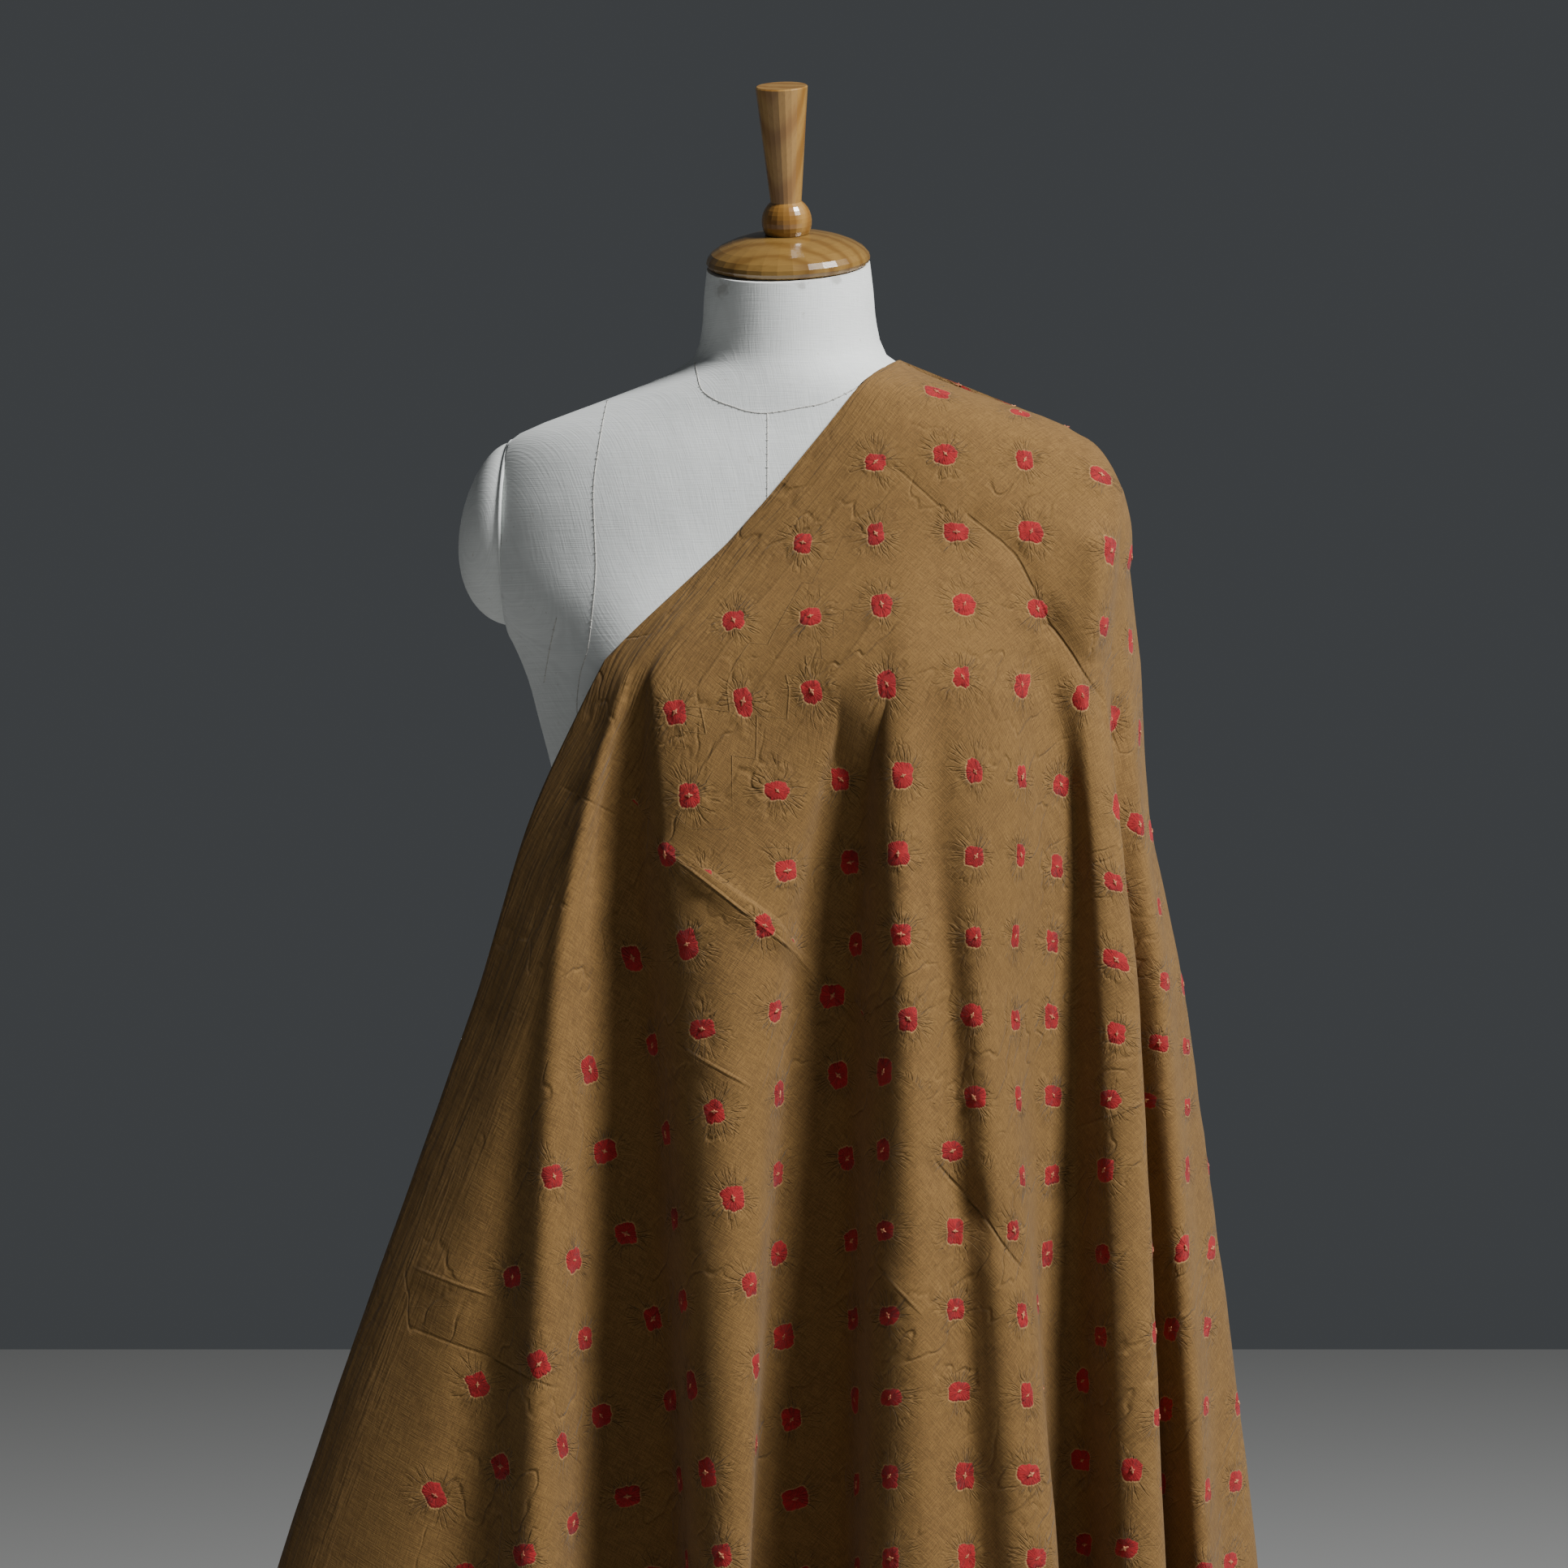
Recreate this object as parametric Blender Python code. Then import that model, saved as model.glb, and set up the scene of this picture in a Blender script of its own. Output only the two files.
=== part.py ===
"""Tie-dyed cotton cloth hung from one shoulder of a tailor's dress form.

Metres, +Z up, the form's front towards -Y and turned a little to -X. The origin is the middle of
the base's underside, on the post's axis.
"""

import math

import bmesh
import bpy
from mathutils import Matrix, Vector
from mathutils.bvhtree import BVHTree

MM = 0.001
SEAT_GAP = 0.3 * MM  # between pieces that touch

# Stand
BASE_RADIUS = 0.190
BASE_EDGE = 0.018  # height of the rim
BASE_HEIGHT = 0.030
BASE_CROWN_RADIUS = 0.070  # where the top's slope ends
BASE_ROUND = 0.006
POST_RADIUS = 0.017
POST_FOOT_RADIUS, POST_FOOT_HEIGHT = 0.034, 0.028

# Neck cap: radius and height of its outline above the neck, in mm
CAP_OUTLINE = (
    (51.5, 0.3),
    (53.5, 1.6),
    (54.5, 4.0),
    (53.8, 6.6),
    (51.0, 10.0),
    (45.5, 13.6),
    (37.0, 17.2),
    (28.0, 19.8),
    (17.5, 21.6),
)

# Finial
BALL_RADIUS = 0.0167
BALL_SUNK = 0.008  # the ball's middle above its foot
HANDLE_LOW, HANDLE_HIGH = 0.0103, 0.0173  # radii
HANDLE_LENGTH = 0.077
HANDLE_EDGE = 0.0008

# Body of the form
BODY_TURN = math.radians(-8)  # the front is turned towards -X
BODY_X = 0.002  # the body's middle, off the post's axis
BODY_BOTTOM = 0.500
BODY_SIDES = 56
ARMHOLE_X = 0.187  # flat face where an arm plate is sewn on
NECK_TILT = math.tan(math.radians(16))  # the neck's top slopes down to the front
NECK_TOP = Vector((0.0, -0.016, 1.2835))
BUST_X, BUST_Z = 0.083, 0.992
BUST_HEIGHT, BUST_SPREAD = 0.033, 0.043
SQUARENESS = 2.25
SQUARE_TOP, SQUARE_FADE = 1.20, 0.08  # the section is round above this height

# Arm plate
PLATE_OUT, PLATE_DEEP, PLATE_HIGH = 0.0365, 0.052, 0.0615
PLATE_Z = 1.1075
PLATE_SKEW = 0.18  # fuller below than above

# Cloth
CLOTH_THICK = 1.6 * MM
CLOTH_CLEAR = 0.8 * MM  # from the form to the cloth's inner face
CORE_HEIGHT = 1.05  # on the body's axis; the cloth is pushed out from it, level below it
STEEPEST = 0.35  # cosine between that push and the form's surface
SHOULDER_ROUND = 0.012  # how far the cloth drops where it rounds the shoulder
SNAP_FROM, SNAP_TO = 1.00, 1.10  # heights between which the cloth goes from free to laid
ARM_FROM, ARM_TO = 0.167, 0.197  # the same in x, where it leaves the chest for the arm
HANG_FROM, HANG_TO = 1.0975, 1.1375  # heights between which it leaves the arm plate
SMOOTH_ROUNDS, CLEAR_ROUNDS = 10, 4
RIDGE_ROWS = 6  # rows next to the shoulder's ridge that are held to it, less and less
HEM_SPREAD_X, HEM_SPREAD_Y = 0.85, 0.45  # how the folds go on below the thigh
SHOULDER_INNER = Vector((0.072, -0.010, 1.216))  # where the selvedge crosses the shoulder
SHOULDER_EDGE = Vector((0.176, -0.022, 1.178))
SHOULDER_TIP = Vector((0.205, -0.027, 1.162))
SHOULDER_OUTER = Vector((0.219, -0.030, 1.136))  # where the folds of the sleeve side start
EDGE_SHARE, TIP_SHARE = 0.70, 0.86  # how far along the shoulder they are
BUST_LEVEL, UNDER_LEVEL, WAIST_LEVEL, THIGH_LEVEL, HEM_LEVEL = 1.02, 0.92, 0.80, 0.44, 0.060
CHEST_ROWS = 12
SKIRT_ROWS = 22
ROW_CROWD = 1.25  # how the rows crowd towards the bust
LAID_ROWS = CHEST_ROWS + 8
SHOULDER_CROWD = 1.85  # how the folds crowd towards the neck on the shoulder

# Half-widths and depths of the body, in mm, from the neck's top to the underside.
# height, widest line's y, half width, depth to the front, depth to the back, slope of the section
BODY_ROWS = (
    (1283.5, -16, 54, 57, 54, 1.00),
    (1266, -15, 56, 58, 55, 0.92),
    (1243, -12, 58, 61, 57, 0.70),
    (1224, -8, 64, 66, 60, 0.40),
    (1214, -6, 79, 70, 62, 0.20),
    (1206, -4, 97, 73, 63, 0.08),
    (1197, -3, 121, 76, 65, 0.0),
    (1188, -1, 147, 79, 68, 0.0),
    (1174, 0, 183, 83, 73, 0.0),
    (1158, 0, 200, 88, 79, 0.0),
    (1130, 0, 208, 95, 87, 0.0),
    (1095, 0, 209, 102, 92, 0.0),
    (1062, 0, 203, 109, 94, 0.0),
    (1035, 0, 187, 114, 94, 0.0),
    (1010, 0, 176, 117, 92, 0.0),
    (985, 0, 169, 117, 90, 0.0),
    (955, 0, 161, 113, 86, 0.0),
    (920, 0, 153, 106, 80, 0.0),
    (870, 0, 142, 99, 74, 0.0),
    (820, 0, 137, 97, 73, 0.0),
    (770, 0, 147, 101, 84, 0.0),
    (710, 0, 166, 106, 103, 0.0),
    (640, 0, 182, 109, 117, 0.0),
    (570, 0, 184, 105, 114, 0.0),
    (500, 0, 178, 98, 101, 0.0),
)

# The cloth's folds from the front selvedge, round the arm, to the back selvedge, in mm.
# fold, x and y at bust level, under the bust, at the waist and at the thigh, cells to the next fold
FOLDS = (
    ("front selvedge", -120, -112, -166, -104, -203, -104, -328, -104, 1),
    ("edge groove", -116, -115, -157, -112, -191, -116, -302, -128, 1),
    ("panel crown", -110, -119, -144, -123, -174, -133, -248, -150, 1),
    ("panel dip", -106, -122, -138, -129, -161, -142, -200, -150, 1),
    ("panel edge", -102, -126, -130, -136, -147, -150, -160, -180, 2),
    ("first hollow left", -97, -128, -119, -122, -119, -122, -124, -118, 1),
    ("first hollow right", -91, -131, -98, -122, -93, -119, -76, -112, 2),
    ("second ridge left", -84, -136, -78, -147, -70, -157, -57, -175, 3),
    ("second ridge crown", -17, -136, -35, -154, -41, -169, -40, -190, 3),
    ("second ridge right", 40, -144, 7, -148, -14, -157, -26, -182, 2),
    ("second hollow left", 49, -143, 22, -130, 7, -126, -22, -124, 2),
    ("second hollow right", 58, -144, 46, -127, 38, -120, 33, -116, 2),
    ("third ridge left", 66, -148, 59, -154, 58, -156, 55, -180, 1),
    ("third ridge crown", 79, -148, 72, -160, 76, -170, 84, -194, 2),
    ("third ridge dip", 95, -144, 93, -149, 103, -151, 120, -174, 2),
    ("third ridge second crown", 110, -139, 116, -149, 121, -158, 146, -187, 1),
    ("third ridge right", 126, -133, 146, -134, 139, -145, 170, -168, 2),
    ("third hollow left", 148, -118, 167, -112, 157, -126, 169, -112, 1),
    ("third hollow right", 168, -104, 184, -99, 183, -103, 191, -102, 2),
    ("fourth ridge left", 189, -101, 197, -110, 204, -124, 215, -150, 1),
    ("fourth ridge right", 202, -84, 213, -98, 225, -114, 240, -142, 2),
    ("fourth hollow", 211, -64, 211, -69, 219, -63, 237, -54, 2),
    ("side ridge crown", 223, -46, 229, -60, 242, -72, 268, -94, 1),
    ("side ridge crease", 229, -25, 234, -34, 253, -44, 284, -56, 1),
    ("side silhouette", 233, 0, 239, -3, 261, -8, 308, -14, 2),
    ("side groove", 226, 24, 231, 26, 238, 28, 270, 34, 2),
    ("back first crown", 206, 56, 214, 67, 228, 76, 250, 116, 2),
    ("back first groove", 186, 74, 190, 71, 196, 68, 204, 70, 2),
    ("back second crown", 168, 85, 172, 95, 176, 104, 178, 148, 2),
    ("back second groove", 150, 92, 151, 89, 152, 86, 136, 96, 2),
    ("back third crown", 132, 98, 131, 105, 131, 112, 106, 152, 1),
    ("back selvedge", 118, 101, 116, 105, 114, 108, 82, 134, 1),
)
LAST_FRONT_FOLD = 20  # from here the folds leave one point, the outer end of the shoulder
FIRST_BACK_FOLD = 26


def clear_scene():
    for old in list(bpy.data.objects):
        bpy.data.objects.remove(old, do_unlink=True)


def make_material(name, colour, roughness):
    material = bpy.data.materials.new(name)
    material.use_nodes = True
    shader = material.node_tree.nodes["Principled BSDF"]
    shader.inputs["Base Color"].default_value = (*colour, 1.0)
    shader.inputs["Roughness"].default_value = roughness
    shader.inputs["Metallic"].default_value = 0.0
    return material


def make_object(name, shape, material, sharp=math.radians(40)):
    """Turns a bmesh into a named object with smooth faces and its own material."""
    mesh = bpy.data.meshes.new(name)
    shape.to_mesh(mesh)
    shape.free()
    mesh.materials.append(material)
    mesh.shade_smooth()
    mesh.set_sharp_from_angle(angle=sharp)
    made = bpy.data.objects.new(name, mesh)
    bpy.context.scene.collection.objects.link(made)
    return made


def add_face(shape, corners):
    """A face through its corners, each taken once."""
    shape.faces.new(list(dict.fromkeys(corners)))


def turned(profile, sides):
    """A bmesh of revolution about Z from (radius, height) points that start and end on the axis."""
    shape = bmesh.new()
    rings = []
    for radius, height in profile:
        if radius < 1e-6:
            rings.append([shape.verts.new((0, 0, height))])
            continue
        angles = [2 * math.pi * k / sides for k in range(sides)]
        rings.append([shape.verts.new((radius * math.cos(a), radius * math.sin(a), height)) for a in angles])
    for low, high in zip(rings, rings[1:]):
        for k in range(sides):
            n = (k + 1) % sides
            corners = [low[k % len(low)], low[n % len(low)], high[n % len(high)], high[k % len(high)]]
            add_face(shape, corners)
    bmesh.ops.recalc_face_normals(shape, faces=shape.faces)
    return shape


def half_round(part, squareness):
    """Superellipse: a cosine or sine pulled towards a squarer outline."""
    return math.copysign(abs(part) ** (2 / squareness), part)


def body_ring(row, sides):
    """Points of one section of the body, before the body is turned."""
    height, widest_y, half_width, front, back = (value * MM for value in row[:5])
    slope = row[5]
    squareness = 2.0 + (SQUARENESS - 2.0) * fade(SQUARE_TOP - height, 0, SQUARE_FADE)
    points = []
    for k in range(sides):
        angle = 2 * math.pi * (k + 0.5) / sides
        sine = math.sin(angle)
        x = half_width * half_round(math.cos(angle), squareness)
        depth = back if sine > 0 else front
        y = widest_y + depth * half_round(sine, squareness)
        if sine < 0:
            for side in (-1, 1):
                away = (x - side * BUST_X) ** 2 + (height - BUST_Z) ** 2
                y += BUST_HEIGHT * math.exp(-away / (2 * BUST_SPREAD**2)) * sine
        z = height + slope * NECK_TILT * (y - widest_y)
        points.append(Vector((x, y, z)))
    return points


def stand_on_post(shape):
    """Turns a piece of the body from its own frame to its place on the post."""
    place = Matrix.Translation((BODY_X, 0, 0)) @ Matrix.Rotation(BODY_TURN, 4, "Z")
    bmesh.ops.transform(shape, matrix=place, verts=shape.verts)


def build_body(material):
    """The padded torso and neck, cut flat at both armholes, turned on its post."""
    shape = bmesh.new()
    rings = [[shape.verts.new(p) for p in body_ring(row, BODY_SIDES)] for row in BODY_ROWS]
    for upper, lower in zip(rings, rings[1:]):
        for k in range(BODY_SIDES):
            n = (k + 1) % BODY_SIDES
            shape.faces.new([upper[k], upper[n], lower[n], lower[k]])
    shape.faces.new(rings[0])
    shape.faces.new(rings[-1])
    for side in (-1, 1):
        everything = shape.verts[:] + shape.edges[:] + shape.faces[:]
        bmesh.ops.bisect_plane(
            shape, geom=everything, plane_co=(side * ARMHOLE_X, 0, 0), plane_no=(side, 0, 0), clear_outer=True
        )
        bmesh.ops.holes_fill(shape, edges=[e for e in shape.edges if e.is_boundary])
    bmesh.ops.recalc_face_normals(shape, faces=shape.faces)
    stand_on_post(shape)
    return make_object("torso", shape, material)


def build_arm_plate(name, side, material):
    """The padded dome sewn on where an arm would start."""
    shape = bmesh.new()
    bmesh.ops.create_uvsphere(shape, u_segments=20, v_segments=16, radius=1.0)
    bmesh.ops.rotate(shape, verts=shape.verts, matrix=Matrix.Rotation(math.pi / 2, 3, "Y"))
    everything = shape.verts[:] + shape.edges[:] + shape.faces[:]
    flat = Vector((-side, 0, 0))
    bmesh.ops.bisect_plane(shape, geom=everything, plane_co=(0, 0, 0), plane_no=flat, clear_outer=True)
    bmesh.ops.holes_fill(shape, edges=[e for e in shape.edges if e.is_boundary])
    for vert in shape.verts:
        out = abs(vert.co.x) * (1 - PLATE_SKEW * vert.co.z) * PLATE_OUT
        x = side * (ARMHOLE_X + SEAT_GAP + out)
        vert.co = (x, vert.co.y * PLATE_DEEP, PLATE_Z + vert.co.z * PLATE_HIGH)
    stand_on_post(shape)
    return make_object(name, shape, material)


def stand_on_neck(shape):
    """Sets a turned piece on the sloping top of the neck."""
    lean = Matrix.Rotation(math.atan(NECK_TILT), 4, "X")
    bmesh.ops.transform(shape, matrix=Matrix.Translation(NECK_TOP) @ lean, verts=shape.verts)
    stand_on_post(shape)
    return shape


def build_cap(material):
    """The wooden dome that closes the neck."""
    outline = [(radius * MM, height * MM) for radius, height in CAP_OUTLINE]
    profile = [(0.0, outline[0][1]), *outline, (0.0, outline[-1][1])]
    return make_object("neck_cap", stand_on_neck(turned(profile, 32)), material)


def build_finial(material):
    """The turned knob: a ball with a handle that widens upwards."""
    foot = CAP_OUTLINE[-1][1] * MM + SEAT_GAP
    middle = foot + BALL_SUNK
    low_angle = math.asin(-BALL_SUNK / BALL_RADIUS)
    high_angle = math.acos(HANDLE_LOW / BALL_RADIUS)
    steps = 8
    angles = [low_angle + (high_angle - low_angle) * k / steps for k in range(steps + 1)]
    profile = [(0.0, foot)]
    profile += [(BALL_RADIUS * math.cos(a), middle + BALL_RADIUS * math.sin(a)) for a in angles]
    neck = profile[-1][1]
    for share in (0.25, 0.5, 0.75, 1.0):
        radius = HANDLE_LOW + (HANDLE_HIGH - HANDLE_LOW) * share
        profile.append((radius, neck + (HANDLE_LENGTH - HANDLE_EDGE) * share))
    profile.append((HANDLE_HIGH - HANDLE_EDGE, neck + HANDLE_LENGTH))
    profile.append((0.0, neck + HANDLE_LENGTH))
    return make_object("finial", stand_on_neck(turned(profile, 24)), material)


def build_stand(material):
    """Round base, and the post that carries the body."""
    base = [
        (0.0, 0.0),
        (BASE_RADIUS - BASE_ROUND, 0.0),
        (BASE_RADIUS, BASE_ROUND),
        (BASE_RADIUS, BASE_EDGE - BASE_ROUND),
        (BASE_RADIUS - BASE_ROUND, BASE_EDGE),
        (BASE_CROWN_RADIUS, BASE_HEIGHT),
        (0.0, BASE_HEIGHT),
    ]
    make_object("base", turned(base, 40), material)
    low, high = BASE_HEIGHT + SEAT_GAP, BODY_BOTTOM - SEAT_GAP
    post = [
        (0.0, low),
        (POST_FOOT_RADIUS, low),
        (POST_FOOT_RADIUS, low + POST_FOOT_HEIGHT / 3),
        (POST_RADIUS, low + POST_FOOT_HEIGHT),
        (POST_RADIUS, high),
        (0.0, high),
    ]
    make_object("post", turned(post, 28), material)


def hermite(stations, values, at):
    """Smooth value at a place between stations, with slopes from the neighbours."""
    last = len(stations) - 1
    k = 0
    while k < last - 1 and (at - stations[k + 1]) * (stations[-1] - stations[0]) > 0:
        k += 1
    slopes = []
    for j in (k, k + 1):
        before, after = max(j - 1, 0), min(j + 1, last)
        slopes.append((values[after] - values[before]) / (stations[after] - stations[before]))
    span = stations[k + 1] - stations[k]
    t = (at - stations[k]) / span
    start = (1 + 2 * t) * (1 - t) ** 2 * values[k] + t * t * (3 - 2 * t) * values[k + 1]
    return start + span * (t * (1 - t) ** 2 * slopes[0] - t * t * (1 - t) * slopes[1])


def fold_point(fold, height):
    """Where one fold's line is at a height below the bust."""
    thigh_x, thigh_y = fold[7:9]
    hem_x = thigh_x + HEM_SPREAD_X * (thigh_x - fold[5])
    hem_y = thigh_y + HEM_SPREAD_Y * (thigh_y - fold[6])
    levels = (BUST_LEVEL, UNDER_LEVEL, WAIST_LEVEL, THIGH_LEVEL, HEM_LEVEL)
    x = hermite(levels, (*fold[1:8:2], hem_x), height)
    y = hermite(levels, (*fold[2:9:2], hem_y), height)
    return Vector((x * MM, y * MM, height))


def shoulder_share(fold, index):
    """How far out along the shoulder a fold starts: 0 at the neck, 1 at the outer end."""
    if LAST_FRONT_FOLD <= index <= FIRST_BACK_FOLD:
        return 1.0
    if index < LAST_FRONT_FOLD:
        edge, end = FOLDS[0][1], FOLDS[LAST_FRONT_FOLD][1]
        return ((fold[1] - edge) / (end - edge)) ** SHOULDER_CROWD
    edge, end = FOLDS[-1][1], FOLDS[FIRST_BACK_FOLD][1]
    return (fold[1] - edge) / (end - edge)


def shoulder_point(share):
    """Point on the line over the shoulder along which the front and the back of the cloth part."""
    if share < EDGE_SHARE:
        return SHOULDER_INNER.lerp(SHOULDER_EDGE, share / EDGE_SHARE)
    if share < TIP_SHARE:
        return SHOULDER_EDGE.lerp(SHOULDER_TIP, (share - EDGE_SHARE) / (TIP_SHARE - EDGE_SHARE))
    return SHOULDER_TIP.lerp(SHOULDER_OUTER, (share - TIP_SHARE) / (1 - TIP_SHARE))


def fold_line(fold, index):
    """One fold from the shoulder to the hem, as a list of points from the top row to the last."""
    top = shoulder_point(shoulder_share(fold, index))
    bust = fold_point(fold, BUST_LEVEL)
    reach = Vector((0, bust.y, top.z - SHOULDER_ROUND))
    line = []
    for row in range(CHEST_ROWS):
        t = row / CHEST_ROWS
        point = top * (1 - t) ** 2 + reach * 2 * t * (1 - t) + bust * t * t
        down = (top.z - point.z) / (top.z - bust.z)
        point.x = top.x + (bust.x - top.x) * down
        line.append(point)
    for row in range(SKIRT_ROWS + 1):
        height = BUST_LEVEL + (HEM_LEVEL - BUST_LEVEL) * (row / SKIRT_ROWS) ** ROW_CROWD
        line.append(fold_point(fold, height))
    return line


def across(points, cells):
    """Rounded curve through one row's fold points, with the given cells between neighbours."""
    places = [0.0]
    for here, following in zip(points, points[1:]):
        places.append(places[-1] + max((following - here).length, 1e-5) ** 0.5)
    row = []
    for k, count in enumerate(cells):
        for step in range(count):
            at = places[k] + (places[k + 1] - places[k]) * step / count
            row.append(Vector([hermite(places, [p[axis] for p in points], at) for axis in range(3)]))
    row.append(points[-1].copy())
    return row


def body_surface(objects):
    """Search over the form's whole surface."""
    points, faces = [], []
    for made in objects:
        offset = len(points)
        points += [v.co.copy() for v in made.data.vertices]
        faces += [[offset + k for k in polygon.vertices] for polygon in made.data.polygons]
    return BVHTree.FromPolygons(points, faces)


def lay_on_form(point, form, snap):
    """Moves a point away from the body's axis to the cloth's clearance, or on to it where snap is 1."""
    core = Vector((0, 0, min(point.z, CORE_HEIGHT)))
    away = (point - core).normalized()
    hit, normal, _, _ = form.ray_cast(core + away, -away)
    if hit is None:
        return point
    on_form = hit + away * CLOTH_CLEAR / max(STEEPEST, normal.dot(away))
    if (point - core).length < (on_form - core).length:
        return on_form
    return point.lerp(on_form, snap)


def fade(value, start, end):
    """0 before the start and 1 after the end."""
    return min(1.0, max(0.0, (value - start) / (end - start)))


def snap_share(point):
    """1 on the shoulder and chest, fading out under the bust and under the arm plate's widest part."""
    over_arm = fade(point.x, ARM_FROM, ARM_TO)
    hung = 1 - fade(point.z, HANG_FROM, HANG_TO)
    return fade(point.z, SNAP_FROM, SNAP_TO) * (1 - over_arm * hung)


def smooth_rows(grid, form):
    """Pulls the laid part of the cloth taut over the form's hollows and keeps it clear of the form."""
    for _ in range(SMOOTH_ROUNDS):
        moved = [[p.copy() for p in row] for row in grid]
        for r in range(1, LAID_ROWS):
            freedom = 0.5 * min(1.0, r / RIDGE_ROWS)
            for c in range(1, len(grid[r]) - 1):
                around = (grid[r - 1][c] + grid[r + 1][c] + grid[r][c - 1] + grid[r][c + 1]) / 4
                evened = grid[r][c].lerp(around, freedom * snap_share(grid[r][c]))
                moved[r][c] = lay_on_form(evened, form, 0.0)
        for r in range(1, LAID_ROWS):
            grid[r] = moved[r]


def cell_shares(corners):
    """How much each corner counts at points spread over a cell of three or four corners."""
    if corners == 3:
        return [(0.5, 0.5, 0.0), (0.0, 0.5, 0.5), (0.5, 0.0, 0.5), (1 / 3, 1 / 3, 1 / 3)]
    steps = (0.0, 0.25, 0.5, 0.75, 1.0)
    return [((1 - u) * (1 - v), (1 - u) * v, u * v, u * (1 - v)) for u in steps for v in steps]


def clear_cells(cells, form):
    """Lifts the corners of each cell that comes too close to the form anywhere between them."""
    for _ in range(CLEAR_ROUNDS):
        for corners in cells:
            for shares in cell_shares(len(corners)):
                between = sum((corner * share for corner, share in zip(corners, shares)), Vector())
                lift = lay_on_form(between, form, 0.0) - between
                if lift.length > 0:
                    spread = sum(share * share for share in shares)
                    for corner, share in zip(corners, shares):
                        corner += lift * share / spread


def cloth_grid(form):
    """Rows of points from the shoulder to the hem, each from the front selvedge to the back one."""
    lines = [fold_line(fold, k) for k, fold in enumerate(FOLDS)]
    cells = [fold[-1] for fold in FOLDS[:-1]]
    grid = []
    for r in range(CHEST_ROWS + SKIRT_ROWS + 1):
        row = across([line[r] for line in lines], cells)
        grid.append([lay_on_form(p, form, snap_share(p)) for p in row])
    outer = fold_column(LAST_FRONT_FOLD)
    grid[0][outer:] = [grid[0][outer]] * (len(grid[0]) - outer)
    smooth_rows(grid, form)
    clear_cells(cloth_cells(grid)[: LAID_ROWS * len(grid[0])], form)
    return grid


def cloth_cells(grid):
    """Corners of every face of the cloth, from the shoulder to the hem."""
    outer, back = fold_column(LAST_FRONT_FOLD), fold_column(FIRST_BACK_FOLD)
    cells = join_triangles(grid[0][: outer + 1], grid[1][back:][::-1])
    for r, (upper, lower) in enumerate(zip(grid, grid[1:])):
        last = back if r == 0 else len(lower) - 1
        for c in range(last):
            cells.append((upper[c], lower[c], lower[c + 1], upper[c + 1]))
    return cells


def join_triangles(ridge, back):
    """Triangles between the ridge and the back's first row, whose counts differ, from the selvedge out."""
    here, there = 0, 0
    triangles = []
    while here < len(ridge) - 1 or there < len(back) - 1:
        ridge_share = (here + 1) / len(ridge)
        back_share = (there + 1) / len(back)
        if there == len(back) - 1 or (here < len(ridge) - 1 and ridge_share <= back_share):
            triangles.append((ridge[here], ridge[here + 1], back[there]))
            here += 1
        else:
            triangles.append((ridge[here], back[there + 1], back[there]))
            there += 1
    return triangles


def fold_column(index):
    """Column of the grid that lies on a fold."""
    return sum(fold[-1] for fold in FOLDS[:index])


def build_cloth(form, material):
    """The whole cloth as one sheet: front, sleeve side and back, joined over the shoulder."""
    grid = cloth_grid(form)
    outer = fold_column(LAST_FRONT_FOLD)
    shape = bmesh.new()
    rows = [[shape.verts.new(p) for p in row] for row in [grid[0][: outer + 1], *grid[1:]]]
    rows[0] += [rows[0][outer]] * (len(grid[0]) - outer - 1)
    for corners in cloth_cells(rows):
        add_face(shape, corners)
    made = make_object("cloth", shape, material, sharp=math.pi)
    thicken = made.modifiers.new("thickness", "SOLIDIFY")
    thicken.thickness = CLOTH_THICK
    thicken.offset = 1.0
    return made


def main():
    clear_scene()
    linen = make_material("linen", (0.74, 0.75, 0.74), 0.9)
    wood = make_material("wood", (0.62, 0.38, 0.14), 0.35)
    cotton = make_material("cotton", (0.36, 0.23, 0.09), 0.85)
    torso = build_body(linen)
    left = build_arm_plate("arm_plate_left", -1, linen)
    right = build_arm_plate("arm_plate_right", 1, linen)
    build_cap(wood)
    build_finial(wood)
    build_stand(wood)
    build_cloth(body_surface([torso, left, right]), cotton)


main()
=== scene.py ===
import math

import bmesh
import bpy
import numpy as np
from mathutils import Matrix, Vector, interpolate as interpolation, noise
from mathutils.bvhtree import BVHTree


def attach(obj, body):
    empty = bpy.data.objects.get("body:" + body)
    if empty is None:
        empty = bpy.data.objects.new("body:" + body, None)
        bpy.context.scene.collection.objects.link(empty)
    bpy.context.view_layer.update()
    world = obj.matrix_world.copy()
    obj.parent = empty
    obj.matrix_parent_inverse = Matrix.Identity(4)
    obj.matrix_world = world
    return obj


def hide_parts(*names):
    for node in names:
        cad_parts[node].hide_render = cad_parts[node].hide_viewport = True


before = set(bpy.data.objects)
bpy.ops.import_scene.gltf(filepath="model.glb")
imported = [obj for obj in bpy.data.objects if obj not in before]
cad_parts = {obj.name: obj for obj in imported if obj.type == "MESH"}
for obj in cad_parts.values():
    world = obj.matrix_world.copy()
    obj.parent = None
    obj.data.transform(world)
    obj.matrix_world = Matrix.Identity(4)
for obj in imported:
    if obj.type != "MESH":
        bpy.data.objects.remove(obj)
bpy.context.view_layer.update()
mm = 0.001


# Shader helpers

def newMaterial(name):
    material = bpy.data.materials.new(name)
    material.use_nodes = True
    tree = material.node_tree
    return material, tree, tree.nodes["Principled BSDF"]


def put(tree, socket, value):  # links an output, or sets a number
    if isinstance(value, bpy.types.NodeSocket):
        tree.links.new(value, socket)
    else:
        socket.default_value = value


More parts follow.
